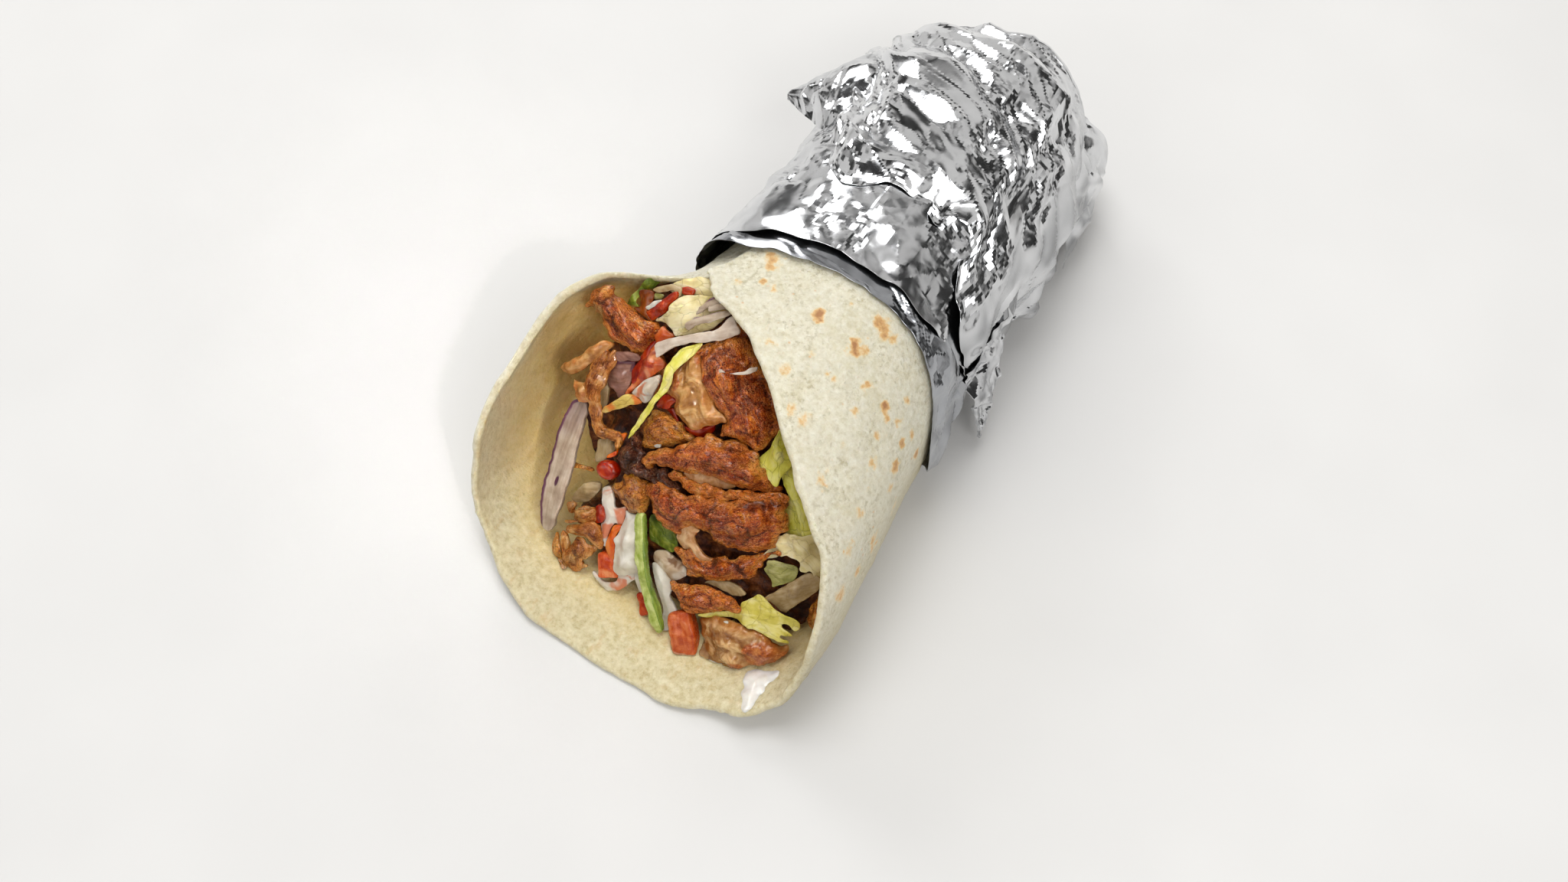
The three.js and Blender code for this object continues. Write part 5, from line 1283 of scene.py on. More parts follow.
def meat_finish(name, crust_tones, flesh_tones, purple=0.5, gloss=0.22, fibre=0.45, ridge=0.7, creased=1.0,
                amber=0.45):
    """A glistening wrinkled crust, amber where it is thin, over flesh that is streaked along its grain, with
    painted highlights on its wrinkle ridges and painted shade in its grooves.
    """
    f = Finish(name)
    grain = f.fibres(f.field("grain", "Vector"), fibre)
    crust, hollow, thin = f.field("crust"), f.field("hollow"), f.field("thin")
    streaks = f.grain(0.9, 4, 0.6, at=grain, bend=0.7)
    fine = f.grain(0.5, 4, 0.65)
    blotch = f.grain(4.2, 4, 0.6, bend=1.2)
    worms = f.maths("ABSOLUTE", f.grain(0.46, 1, 0.5, at=grain, bend=1.6) - 0.5, 0.0)
    folds = f.maths("ABSOLUTE", f.grain(1.5, 2, 0.5, at=grain, bend=1.4) - 0.5, 0.0)
    tone = blotch * 0.66 + fine * 0.12 + streaks * 0.22 + thin * 0.10 - hollow * 0.10
    crusty = f.ramp(tone, *zip((0.38, 0.46, 0.53, 0.61, 0.74), crust_tones))
    wine = f.rise(f.grain(6.0, 3, 0.55, bend=0.8), 0.50, 0.64) * (1.0 - thin) * purple
    crusty = f.blend(wine, crusty, f.ramp(fine, (0.35, (84, 28, 18)), (0.65, (146, 70, 52))))
    fleshy = f.ramp(streaks * 0.4 + blotch * 0.45 + fine * 0.15, *zip((0.38, 0.5, 0.62), flesh_tones))
    share = f.rise(crust + (fine - 0.5) * 0.4 + (blotch - 0.5) * 0.6, 0.30, 0.62)
    colour = f.blend(share, fleshy, crusty)
    colour = f.blend(thin * share * amber, colour, (204, 122, 44))
    # Painted shade: dark red-brown along the wrinkle grooves and the bottoms of the folds.
    dark = (f.rise(worms, 0.09, 0.20) * 0.5 + f.rise(folds, 0.03, 0.0) * 0.35) * creased
    colour = f.blend(dark * (share * 0.7 + 0.3), colour, (84, 24, 2))
    # Painted shade in the grooves and recesses.
    colour = f.blend(hollow * 0.55 * (share * 0.6 + 0.4), colour, (62, 16, 0))
    # Painted highlights: peach colour along the wrinkle ridges, standing in for glints on the wet crust.
    ridges = f.rise(worms, 0.07, 0.0) * f.rise(f.grain(2.4, 2), 0.34, 0.58)
    colour = f.blend(ridges * ridge * (1.0 - hollow), colour, (232, 146, 80))
    crumbs = f.rise(f.cells(1.7), 0.13, 0.05) * f.rise(f.grain(5, 2), 0.5, 0.6)
    colour = f.blend(crumbs * 0.6, colour, (246, 196, 112))
    under = f.bump(f.rise(folds, 0.0, 0.12) * creased + streaks * 0.5, 0.45, 0.8)
    return f.surface(
        Base_Color=colour,
        Roughness=gloss + (fine - 0.5) * 0.25,
        Normal=f.bump(worms * (-2.4 * creased), 0.26, 0.8, under),
        Specular_IOR_Level=0.5, Specular_Tint=(1.0, 0.72, 0.48, 1.0),
        Coat_Weight=f.rise(blotch + (fine - 0.5) * 0.5, 0.32, 0.62) * 0.6, Coat_Roughness=0.16,
        Subsurface_Weight=0.10, Subsurface_Radius=(1.0, 0.4, 0.2), Subsurface_Scale=1.2 * MM,
    )


def soft_meat_finish(name, tones, browned=0.85):
    """Pale meat and fat: soft, wet and half clear, with faint fibres along it, browned edges and painted
    shade in its grooves.
    """
    f = Finish(name)
    crust, hollow, thin = f.field("crust"), f.field("hollow"), f.field("thin")
    fibres = f.grain(2.2, 2, 0.5, at=f.fibres(f.field("grain", "Vector"), 0.10), bend=0.5)
    cloud, fine = f.grain(3.6, 3, 0.55, bend=0.9), f.grain(0.5, 3, 0.6)
    colour = f.ramp(cloud * 0.7 + fibres * 0.3, *zip((0.38, 0.5, 0.62), tones))
    # Painted shade in the grooves and recesses.
    colour = f.blend(hollow * 0.45, colour, (112, 62, 26))
    crusty = f.ramp(fine * 0.4 + cloud * 0.6, *zip((0.36, 0.5, 0.64), EDGE_TONES))
    share = f.rise(crust + (cloud - 0.5) * 0.9 + (fine - 0.5) * 0.3, 0.34, 0.74)
    colour = f.blend(share * browned, colour, crusty)
    colour = f.blend(thin * 0.3, colour, (200, 124, 56))
    return f.surface(
        Base_Color=colour,
        Roughness=0.24 + (fine - 0.5) * 0.2,
        Specular_Tint=(1.0, 0.82, 0.62, 1.0),
        Coat_Weight=0.3, Coat_Roughness=0.12,
        Normal=f.bump(fibres * 0.8 + cloud * 0.5 + fine * 0.12, 0.35, 0.5),
        Subsurface_Weight=0.45, Subsurface_Radius=(1.0, 0.6, 0.35), Subsurface_Scale=2.0 * MM,
    )


CRUST_RED = ((86, 22, 0), (146, 46, 2), (190, 82, 12), (220, 124, 34), (244, 180, 84))
CRUST_GOLDEN = ((104, 42, 2), (160, 82, 8), (200, 120, 26), (228, 160, 58), (244, 202, 112))
CRUST_SHRED = ((84, 32, 2), (130, 64, 12), (166, 96, 32), (200, 136, 66), (234, 190, 116))
CRUST_BARK = ((12, 5, 4), (30, 12, 10), (52, 22, 18), (88, 44, 32), (150, 92, 62))
FLESH_TAN = ((136, 80, 34), (178, 122, 66), (214, 168, 112))
FLESH_DARK = ((58, 28, 14), (92, 48, 26), (134, 82, 48))
FLESH_PALE = ((136, 82, 32), (186, 132, 70), (222, 180, 120))
FAT_TONES = ((138, 98, 58), (176, 136, 92), (208, 176, 134))
LIP_TONES = ((118, 64, 24), (164, 112, 58), (214, 176, 122))
EDGE_TONES = ((104, 38, 8), (160, 76, 24), (204, 128, 62))


def torn_meats():
    """The roast meat, piece by piece. Places are across, up the slope and out of the heap."""
    roasted = meat_finish("roast_crust", CRUST_RED, FLESH_TAN)
    golden = meat_finish("roast_golden", CRUST_GOLDEN, FLESH_TAN, 0.3)
    shreds = meat_finish("roast_shreds", CRUST_SHRED, FLESH_TAN, 0.45, 0.2, 0.13, 0.3, 0.6, 0.2)
    bark = meat_finish("roast_bark", CRUST_BARK, FLESH_DARK, 0.0, 0.3, ridge=0.12, amber=0.0)
    fibrous = meat_finish("roast_fibres", CRUST_RED, FLESH_TAN, 0.5, 0.22, 0.14, 0.7)
    pale = soft_meat_finish("pale_flesh", FLESH_PALE)
    fat = soft_meat_finish("soft_fat", FAT_TONES, 0.2)
    lip = soft_meat_finish("lip_chunk", LIP_TONES, 0.95)
    meat("meat_slab_front", roasted,
         slab("slab_front", 2.6, [(-1, -25, 6), (7, -22, 7), (16, -22, 6)], 21, deep=1.5))
    meat("meat_slab_lower", roasted,
         slab("slab_lower", 2.8, [(-4, -16, 6), (4, -18, 7), (12, -15, 7), (21, -5, 6)], 22, deep=2.0))
    meat("meat_slab_middle", roasted,
         slab("slab_middle", 4.2, [(-16, -5, 7), (-5, -7, 9), (6, -5, 9), (20, 2, 6)], 23, 1.05, deep=4.0),
         slab("middle_fold", 2.4, [(-11, 1, 8), (0, 2, 8), (16, 8, 6)], 39, 0.9, deep=2.0))
    meat("meat_slab_upper", roasted,
         slab("slab_upper", 4.0, [(-19, 2, 7), (-8, 8, 9), (2, 11, 9), (14, 10, 6)], 24, 1.05, deep=4.0))
    meat("meat_chunk_large", roasted,
         slab("chunk", 4.6, [(-12, 34, 7), (-5, 26, 9), (3, 20, 9), (6, 17, 7)], 25, 1.15, deep=6.0))
    meat("meat_chunk_pale", pale,
         slab("drape", 2.6, [(-16, 30, 8), (-12, 25, 10), (-8, 21, 10), (-5, 16, 9.5)], 26, 1.5, 0.2,
              bare=1.5, deep=3.0, stretch=6.0, strength=0.9,
              browned=[(-7.0, 23.5, 1.6), (-17.6, 22.0, 1.7), (-12.5, 12.6, 1.6), (-14.0, 29.5, 1.6)]))
    soft = {"jag": 0.15, "bare": 2.0, "strength": 0.4}
    heap_piece("meat_fat_strips", [
        slab("fat_strip", 1.6, [(-8, 2, 8), (5, 5, 8)], 76, deep=1.2, **soft),
        slab("fat_bridge", 1.4, [(-1, -9, 8), (0, -13, 7), (6, -15, 6.6)], 77, deep=1.0, **soft),
    ], fat)
    meat("meat_nub_golden", golden,
         slab("nub_golden", 4.2, [(-21, 6, 6), (-16, 10, 7), (-10, 9, 7)], 27, deep=4.0))
    meat("meat_nub_lower", golden,
         slab("nub_lower", 4.4, [(-24, -8, 6), (-19, -9, 7), (-15, -11, 6)], 28, deep=3.0, bare=0.5))
    meat("meat_bark_dark", bark,
         slab("bark", 4.4, [(-25, 0, 5), (-18, 0, 6), (-9, -3, 5)], 29, jag=0.5, deep=3.0, fall=1.0,
              strength=2.2))
    meat("meat_top_left", fibrous,
         slab("top_left", 4.2, [(-46, 31, 5), (-40, 31, 6), (-34, 28, 6), (-29, 26, 5)], 30, deep=2.6,
              bare=0.35, stretch=6.0, browned=[(-44, 33, 3), (-36, 30, 4), (-31, 28, 4)]))
    meat("meat_pale_end", pale,
         slab("pale_end", 3.6, [(-47, 12, 5), (-42, 17, 6), (-37, 22, 6)], 31, 1.2, 0.15, deep=2.0, bare=0.9,
              fall=1.2, edge=0.5, strength=0.45, stretch=5.0),
         slab("arch_flake", 1.8, [(-43, 10, 5), (-37, 6, 5)], 40, 0.8, deep=1.2, bare=0.7, strength=0.6))
    meat("meat_arch", shreds,
         shred(ARCH, (6.0, 5.6, 4.2, 3.2, 2.6, 2.8, 3.0, 2.6, 1.6), 2.6, (-10, 10), 32, 2, 0.02))
    meat("meat_chunk_lip", lip,
         slab("chunk_lip", 6.4, [(10, -34, 4), (18, -31, 6), (26, -30, 5)], 33, 1.6, 0.3, deep=2.0, bare=1.4,
              fall=2.4, strength=0.45, stretch=4.0,
              browned=[(25.9, -30.4, 4.2), (21.5, -37.6, 2.6), (29, -31, 3.4)]))
    meat("meat_sliver_right", golden,
         slab("sliver_right", 2.6, [(32, -12, 2), (35, -21, 2)], 34, 0.9, deep=1.4, bare=0.3))
    stringy = {"coarse": 0.9, "jag": 0.3, "strength": 0.6, "stretch": 6.0}
    meat("meat_shred_left", shreds,
         slab("shred_dark", 3.0, [(-32, -22, 4), (-26, -18, 5)], 35, **stringy),
         slab("shred_band", 3.0, [(-32, -26, 4), (-27, -23, 5), (-22, -25, 4)], 41, bare=0.4, **stringy))
    meat("meat_shred_low", shreds,
         slab("shred_low", 3.4, [(-31, -33, 3), (-28, -28, 4), (-26, -33, 3)], 36, deep=1.6, bare=0.3,
              **stringy),
         shred([(-32.4, -27.4, 2.4), (-31.6, -31, 2.6), (-30, -34, 2)], 1.8, 1.8, 0, 42, 2, 0.1, 0.5))
    heap_piece("meat_bits", [
        slab("seed_left", 1.8, [(-36, -30, 3), (-33, -38, 2)], 71, 0.6, 0.1, fall=0.7),
        slab("wall_stick", 0.9, [(-38, -9, 1), (-33, -12, 1)], 72, 0.5, 0.1, fall=0.6),
        slab("nub_a", 2.4, [(-35, -22, 3), (-33, -24, 3)], 73, 0.7, 0.2, fall=0.9, bare=1.0),
        slab("nub_b", 1.6, [(-35, -26, 4), (-31, -25, 4)], 74, 0.6, 0.2, fall=0.7, bare=1.0),
        slab("nub_c", 1.6, [(-32, -21, 5), (-29, -20, 5)], 75, 0.6, 0.2, fall=0.7, bare=1.0),
    ], golden)
    meat("meat_behind_flap", roasted, shred([(-14, 33, 1.6), (-2, 37, 2.4)], (8, 9), 5, 0, 37))
    meat("meat_under_chunk", roasted, shred([(-34, 21, -0.2), (-22, 14, 0.8)], (8, 9), 5.6, 0, 38))


# --- Leaves, onion, cucumber and tomato --------------------------------------------------------

def leaf(shape, grain, seed, thick=0.7, ruffle=0.6, wave=4.0, jag=0.14, edge=0.16, skin_side=0, deep=0.0,
         spots=()):
    """A thin cut sheet: lettuce, or a slice of onion with its skin on one side."""
    points, quads, inset, _ = cut_out(shape, thick, seed, jag, edge, 0.5, FINE, deep, ruffle, wave)
    along = Line(grain).local(points)
    skin = smooth(1.3, 0.4, inset) * smooth(0.2, 1.2, along[:, 1] * skin_side) if skin_side else inset * 0
    for a, b, wide, long, share in spots:
        reach = np.hypot((points[:, 0] - a) / wide, (points[:, 1] - b) / long)
        skin = np.maximum(skin, smooth(1.25, 0.5, reach) * share)
    return points, quads, {"grain": along, "skin": skin, "inset": inset}


def leaf_finish(name, tones, vein, rib, stain=None):
    """Lettuce: a waxy leaf with pale ribs, fine dark veins and a thin translucent body."""
    f = Finish(name)
    grain = f.field("grain", "Vector")
    body = f.grain(4.0, 3, 0.6, bend=0.6)
    fine = f.grain(0.8, 3)
    along = f.grain(1.3, 2, at=f.fibres(grain, 0.16))
    colour = f.ramp(body * 0.7 + along * 0.3, *zip((0.34, 0.5, 0.64), tones))
    bent = f.node("VectorMath", {"operation": "ADD"}, {0: grain, 1: f.noise_shift(2.0, 1.6)})
    veins = f.rise(f.cells(2.6, f.fibres(bent, 0.5), "DISTANCE_TO_EDGE"), 0.04, 0.0)
    colour = f.blend(veins * 0.35, colour, vein)
    ribs = f.rise(along, 0.54, 0.68)
    colour = f.blend(ribs * 0.4, colour, rib)
    if stain:
        colour = f.blend(f.rise(f.grain(5.0, 2), 0.42, 0.58) * 0.85, colour, stain)
    return f.surface(
        Base_Color=colour,
        Roughness=0.38 + (fine - 0.5) * 0.2,
        Specular_IOR_Level=0.4,
        Normal=f.bump(along * 0.9 - veins * 0.4 + body * 0.5, 0.4, 0.6),
        Subsurface_Weight=0.3, Subsurface_Radius=(0.8, 1.0, 0.25), Subsurface_Scale=1.2 * MM,
    )


def onion_finish(name, tones, skin_tones):
    """Red onion: watery flesh with fine lines along it and a purple skin on one edge."""
    f = Finish(name)
    grain = f.field("grain", "Vector")
    body = f.grain(3.4, 3)
    lines = f.grain(0.9, 3, at=f.fibres(grain, 0.08))
    colour = f.ramp(lines * 0.45 + body * 0.55, *zip((0.34, 0.5, 0.68), tones))
    colour = f.blend(
        f.rise(f.field("skin") + (body - 0.5) * 0.3, 0.2, 0.9), colour,
        f.ramp(lines, (0.3, skin_tones[0]), (0.7, skin_tones[1])),
    )
    return f.surface(
        Base_Color=colour,
        Roughness=0.22 + (body - 0.5) * 0.15,
        Normal=f.bump(lines, 0.16, 0.5),
        Subsurface_Weight=0.4, Subsurface_Radius=(1.0, 0.85, 0.75), Subsurface_Scale=1.8 * MM,
    )


def cut_green(name, finish, *skins):
    """A piece of lettuce or onion, as the first word of its name says."""
    heap_piece(f"{name}_cut", skins, finish, [name])


# Lettuce: the body's three tones, its veins and its ribs, and a stain of sauce on one piece.
LETTUCE_TONES = {
    "bright": (((196, 190, 56), (224, 218, 92), (238, 232, 140)), (110, 108, 34), (228, 222, 150)),
    "strip": (((202, 198, 60), (226, 216, 96), (236, 226, 142)), (170, 164, 60), (234, 224, 156)),
    "yellow": (((182, 168, 54), (210, 196, 92), (226, 216, 146)), (150, 132, 40), (222, 212, 150)),
    "pale": (((206, 188, 126), (228, 212, 158), (240, 228, 186)), (156, 134, 84), (236, 224, 188)),
    "moss": (((126, 124, 58), (154, 150, 80), (180, 174, 112)), (100, 98, 46), (192, 186, 132)),
    "green": (((62, 78, 16), (96, 112, 24), (146, 152, 52)), (50, 60, 14), (150, 156, 70)),
    "stained": (
        ((176, 150, 50), (200, 172, 80), (214, 194, 112)), (160, 110, 40), (226, 196, 120), (204, 96, 18),
    ),
}
# Onion: the flesh's three tones and the skin's two.
ONION_TONES = {
    "white": (((178, 156, 136), (206, 188, 170), (228, 216, 202)), ((120, 84, 84), (168, 130, 122))),
    "purple": (((154, 132, 112), (184, 164, 142), (210, 194, 174)), ((62, 26, 48), (118, 72, 92))),
    "lilac": (((108, 68, 56), (140, 96, 80), (168, 126, 106)), ((70, 30, 40), (110, 56, 66))),
    "beige": (((132, 106, 66), (164, 138, 96), (192, 170, 130)), ((110, 84, 60), (150, 120, 88))),
}


def salad():
    """Lettuce and onion, piece by piece."""
    bright, strip, yellow, pale, moss, dark, stained = (
        leaf_finish(f"lettuce_{name}", *tones) for name, tones in LETTUCE_TONES.items()
    )
    white, purple, lilac, beige = (
        onion_finish(f"onion_{name}", *tones) for name, tones in ONION_TONES.items()
    )
    cut_green("lettuce_strip", strip,
              leaf("strip", [(-15, 32, 10), (-18, 22, 11), (-22, 10, 9), (-26, 0, 7)], 41,
                   ruffle=0.4, deep=0.3))
    cut_green("lettuce_fringed", yellow,
              leaf("fringed", [(8, -28, 5.5), (20, -22, 7), (33, -20, 8)], 42, ruffle=0.9))
    cut_green("lettuce_folded_leaf", bright,
              leaf("folded", [(10, 20, 6), (12, 14, 7), (13, 9, 7)], 46, ruffle=0.9))
    cut_green("lettuce_right_strip", bright,
              leaf("right_strip", [(14, 14, 5), (20, 8, 5), (25, 1, 5)], 48, ruffle=0.7),
              leaf("right_under", [(15, 6, 4), (23, 1, 4)], 49, ruffle=0.7))
    cut_green("lettuce_pale_leaf", pale,
              leaf("pale_leaf", [(19, -4, 6), (26, -3, 6), (32, -6, 5)], 50, ruffle=1.4, wave=3.2, jag=0.3))
    cut_green("lettuce_green_square", moss, leaf("square", [(19, -10, 5.5), (26, -8, 5.5)], 52, ruffle=0.5))
    cut_green("lettuce_dark_leaf", dark, leaf("dark_leaf", [(-13, -14, 3), (-4, -17, 3)], 53, ruffle=1.2))
    cut_green("lettuce_tip", stained, leaf("tip", [(-34, 6, 5), (-25, 12, 6)], 55, ruffle=0.4))
    cut_green("lettuce_pale_top", pale,
              leaf("pale_top", [(-29, 32, 6), (-22, 38, 7), (-14, 42, 5)], 56, ruffle=1.2),
              leaf("back_fill", [(-26, 40, 2), (-14, 44, 2)], 89, 1.2, 0.4))
    cut_green("lettuce_top_green", dark,
              leaf("top_green", [(-38, 32, 2), (-34, 40, 2)], 58, ruffle=1.4, wave=3.0))
    cut_green("onion_slice_left", purple,
              leaf("onion_left", [(-40, 5, 3), (-40, -14, 3), (-38, -28, 3)], 61, 1.9, 0.25, edge=0.7,
                   skin_side=-1, spots=[(-38.8, -16.0, 0.6, 1.7, 1.0), (-41.0, 6.0, 5.0, 14.0, 0.5)]))
    cut_green("onion_slice_top", white,
              leaf("onion_top", [(-26, 27, 8), (-16, 35, 9.5), (-8, 40, 7)], 62, 1.2, 0.4, edge=0.35))
    cut_green("onion_slice_right", beige,
              leaf("onion_right", [(21, -18, 5), (32, -8, 5)], 63, 1.0, 0.4, edge=0.3))
    cut_green("onion_petal", lilac,
              leaf("petal", [(-36, 14, 3), (-30, 17, 3)], 64, 1.6, 0.5, edge=0.5, skin_side=1),
              leaf("onion_rim", [(-36, 18, 5), (-28, 16, 5)], 68, 1.2, 0.3, edge=0.4, skin_side=-1))
    cut_green("onion_curl", white,
              leaf("curl", [(-12, 24, 12), (-7, 26, 12), (-1, 31, 11)], 65, 0.9, 0.2, edge=0.25))
    heap_piece("onion_bits", [
        leaf("petal_low", [(-37, 12, 3), (-35, 5, 2)], 68, 1.2, 0.3, edge=0.4),
        leaf("wall_chip", [(-34, -2, 2), (-32, -8, 2)], 70, 1.3, 0.3, edge=0.4),
        leaf("back_strand", [(-34, 37, 4), (-27, 40, 4), (-24, 36, 4)], 79, 1.1, 0.5, edge=0.4),
        leaf("wall_blob", [(-36, -18, 1), (-30, -15, 1)], 88, 1.4, 0.5, edge=0.5),
        leaf("under_slab", [(2, -21, 5), (10, -21, 5), (16, -26, 5)], 80, 1.0, 0.4, edge=0.3),
    ], beige)
    bits = leaf("back_green", [(-33, 37, 3), (-30, 37, 3)], 87, 1.0, 0.5)
    heap_piece("lettuce_bits", [bits], moss)
    cut_green("onion_slice_back", purple,
              leaf("onion_back_a", [(-20, 39, 7), (-15, 44, 5)], 66, 1.1, 0.3, edge=0.3, skin_side=1),
              leaf("onion_back_b", [(-17, 41, 7), (-13, 43, 6)], 67, 1.0, 0.2, edge=0.3),
              leaf("onion_back_c", [(-21, 35, 8), (-12, 42, 7)], 69, 1.0, 0.3, edge=0.3, skin_side=1))


def solid_finish(name, tones, wet, skin=None, glow=(1.0, 0.3, 0.1), glow_share=0.3):
    """Soft wet vegetable flesh, with a skin on one side if it has one."""
    f = Finish(name)
    grain = f.field("grain", "Vector")
    body, fine = f.grain(2.6, 3, bend=0.6), f.grain(0.7, 3)
    along = f.grain(0.8, 2, at=f.fibres(grain, 0.12))
    colour = f.ramp(body * 0.65 + along * 0.35, *zip((0.36, 0.5, 0.64), tones))
    if skin:
        side = f.field("skin")
        shade = f.ramp(along, (0.35, skin[0]), (0.65, skin[1]))
        colour = f.blend(f.rise(side + (fine - 0.5) * 0.3, 0.25, 0.6), colour, shade)
    return f.surface(
        Base_Color=colour,
        Roughness=0.26 + (fine - 0.5) * 0.15,
        Specular_IOR_Level=0.4,
        Specular_Tint=(1.0, 0.8, 0.6, 1.0),
        Coat_Weight=wet, Coat_Roughness=0.08,
        Normal=f.bump(body * 0.6 + fine * 0.25, 0.35, 0.5),
        Subsurface_Weight=glow_share, Subsurface_Radius=glow, Subsurface_Scale=1.8 * MM,
    )


def chopped(name, path, wide, thick, roll, seed, finish, skin_side=0.0, square=0.3):
    """A cut piece with square shoulders and uneven faces."""
    line = Line(path, roll)
    points, quads, normals = fused([bar(line, wide, thick, seed, 0.07, square, blunt=16)], FINE)
    grain = line.local(points)
    points = points + normals * (rough(points, 2.6, seed) * 0.22)[:, None]
    reach = float(np.mean(wide)) / 2
    skin = smooth(0.55, 0.95, grain[:, 1] * skin_side / reach) if skin_side else np.zeros(len(points))
    skins = [(points, quads, {"grain": grain, "skin": skin})]
    heap_piece(f"{name}_chopped", skins, finish, [name])


def chopped_vegetables():
    tomato = solid_finish("tomato", ((158, 52, 14), (188, 82, 32), (210, 118, 66)), 0.4)
    sauced = solid_finish("tomato_in_sauce", ((178, 52, 14), (206, 88, 36), (222, 138, 90)), 0.4)
    deep = solid_finish("tomato_dark", ((132, 24, 2), (166, 42, 4), (192, 74, 20)), 0.3)
    cucumber = solid_finish(
        "cucumber", ((142, 156, 66), (176, 186, 100), (212, 216, 150)), 0.3,
        ((100, 126, 44), (142, 160, 66)), (0.6, 1.0, 0.3), 0.25,
    )
    chopped("tomato_block", [(2.8, -30.8, 3.6), (5.8, -35.6, 4.4), (8.6, -40.2, 3.0)],
            (5.8, 6.4, 5.2), 5.2, 0, 81, tomato, square=0.36)
    chopped("tomato_sauced", [(-20.6, -26.6, 2.6), (-17.6, -32.6, 2.4)], 5.2, 4.0, 0, 82, sauced)
    chopped("tomato_dice", [(-8.6, -31.6, 2.2), (-4.6, -36.4, 2.2)], 3.8, 3.8, 0, 83, deep)
    heap_piece("tomato_strip_top_cut", [
        leaf("red_strip", [(-34, 29, 5), (-26, 35, 5)], 84, 2.2, 0.2, edge=0.6, deep=1.5),
        leaf("back_red", [(-24, 36, 4), (-20, 37, 4)], 86, 1.6, 0.2, edge=0.5, deep=1.0),
    ], deep, ["tomato_strip_top"])
    chopped("cucumber_stick", [(-15.4, -12.4, 5.6), (-8.5, -25.4, 7.2), (0.4, -38.2, 5.2)],
            (2.5, 2.9, 3.1), 2.2, 8, 85, cucumber, skin_side=1.0)


# --- Sauces ------------------------------------------------------------------------------------

DRIP_SLANT = np.array([-0.204, -0.404, -0.892])  # the way a drip is carried to what lies under it
DRIP_FALL = 40  # how far off it sets out


def landing(points):
    """Where points come to rest on the heap or the roll when they are carried along the slant."""
    corners, faces, count = [], [], 0
    for part_points, part_quads in ON_HEAP:
        corners.append(part_points)
        faces.append(part_quads + count)
        count += len(part_points)
    tree = BVHTree.FromPolygons(np.concatenate(corners).tolist(), np.concatenate(faces).tolist())
    slant = Vector(DRIP_SLANT @ HEAP_TURN.T)
    rested = []
    for start in from_heap(points - DRIP_SLANT * DRIP_FALL):
        hit = tree.ray_cast(Vector(start), slant)[0]
        rested.append(start + np.array(slant) * DRIP_FALL if hit is None else np.array(hit))
    return to_heap(np.array(rested))


def runny(shape, thick, seed, edge=0.45, fall=1.3, deep=1.2, lay=False, jag=0.1):
    """A smooth run of sauce over an outline, with rounded sides, laid on what is under it if asked."""
    points, quads, inset, side = cut_out(shape, thick, seed, jag, edge, fall, FINE, deep, 0.3, 4.6)
    points[:, 2] += 0.45 * np.maximum(side, 0) * thick * (1 - np.exp(-((inset / 2.6) ** 2)))
    if lay:
        flat = np.column_stack([points[:, :2], points[:, 2] * 0 + points[:, 2].mean()])
        height = 0.12 + side * thick * 0.5 * (1 - np.exp(-inset / fall))
        points = landing(flat) - DRIP_SLANT * height[:, None]
    return points, quads, {"inset": inset}


def drop(centre, radii, seed):
    """A round drop of sauce, flattened, a little lumpy and turned on the heap."""
    rows, sides, turn, lump = 12, 18, 0.4, 0.12
    polar = np.linspace(0.05, math.pi - 0.05, rows)[:, None]
    azimuth = 2 * math.pi * np.arange(sides)[None] / sides
    across, up, out = (
        np.broadcast_to(share, (rows, sides)) * radius for share, radius in zip(
            (np.sin(polar) * np.cos(azimuth), np.sin(polar) * np.sin(azimuth), np.cos(polar)), radii,
        )
    )
    c, s = math.cos(turn), math.sin(turn)
    scaled = np.stack([across * c - up * s, across * s + up * c, out], -1)
    points = scaled * (1 + lump * noise(scaled, max(radii) * 0.8, seed)[..., None]) + np.array(centre)
    faces = [face[::-1] for face in tube_faces(rows, sides)]
    points, quads, _ = fused([(points.reshape(-1, 3), faces)], FINE, 4)
    return points, quads, {"inset": np.full(len(points), min(radii))}


def sauce_finish(name, tones, stain=None, glow=(1.0, 0.8, 0.6), stained=0.0, wet=0.4):
    """Smooth wet sauce, with clouds of a stain mixed in where it has one."""
    f = Finish(name)
    body, fine = f.grain(3.4, 2, bend=0.5), f.grain(0.7, 2)
    colour = f.ramp(body, *zip((0.34, 0.5, 0.66), tones))
    if stain:
        cloud = f.grain(4.4, 2, 0.5, bend=0.8)
        colour = f.blend(f.rise(cloud, 0.50 - stained, 0.66 - stained) * 0.85, colour, stain)
    return f.surface(
        Base_Color=colour,
        Roughness=0.22 + (fine - 0.5) * 0.1,
        Coat_Weight=wet, Coat_Roughness=0.06,
        Specular_Tint=(1.0, 0.9, 0.8, 1.0),
        Normal=f.bump(body, 0.25, 0.2),
        Subsurface_Weight=0.35, Subsurface_Radius=glow, Subsurface_Scale=1.5 * MM,
    )


def pour(name, finish, *skins, nodes=(), held=True):
    """Sauce of one kind, in as many runs and drops as it has skins."""
    heap_piece(name, skins, finish, nodes, held)


# How far light spreads under a sauce's surface: its red, green and blue.
RED_GLOW = (1.0, 0.2, 0.05)
WARM_GLOW = (1.0, 0.3, 0.1)


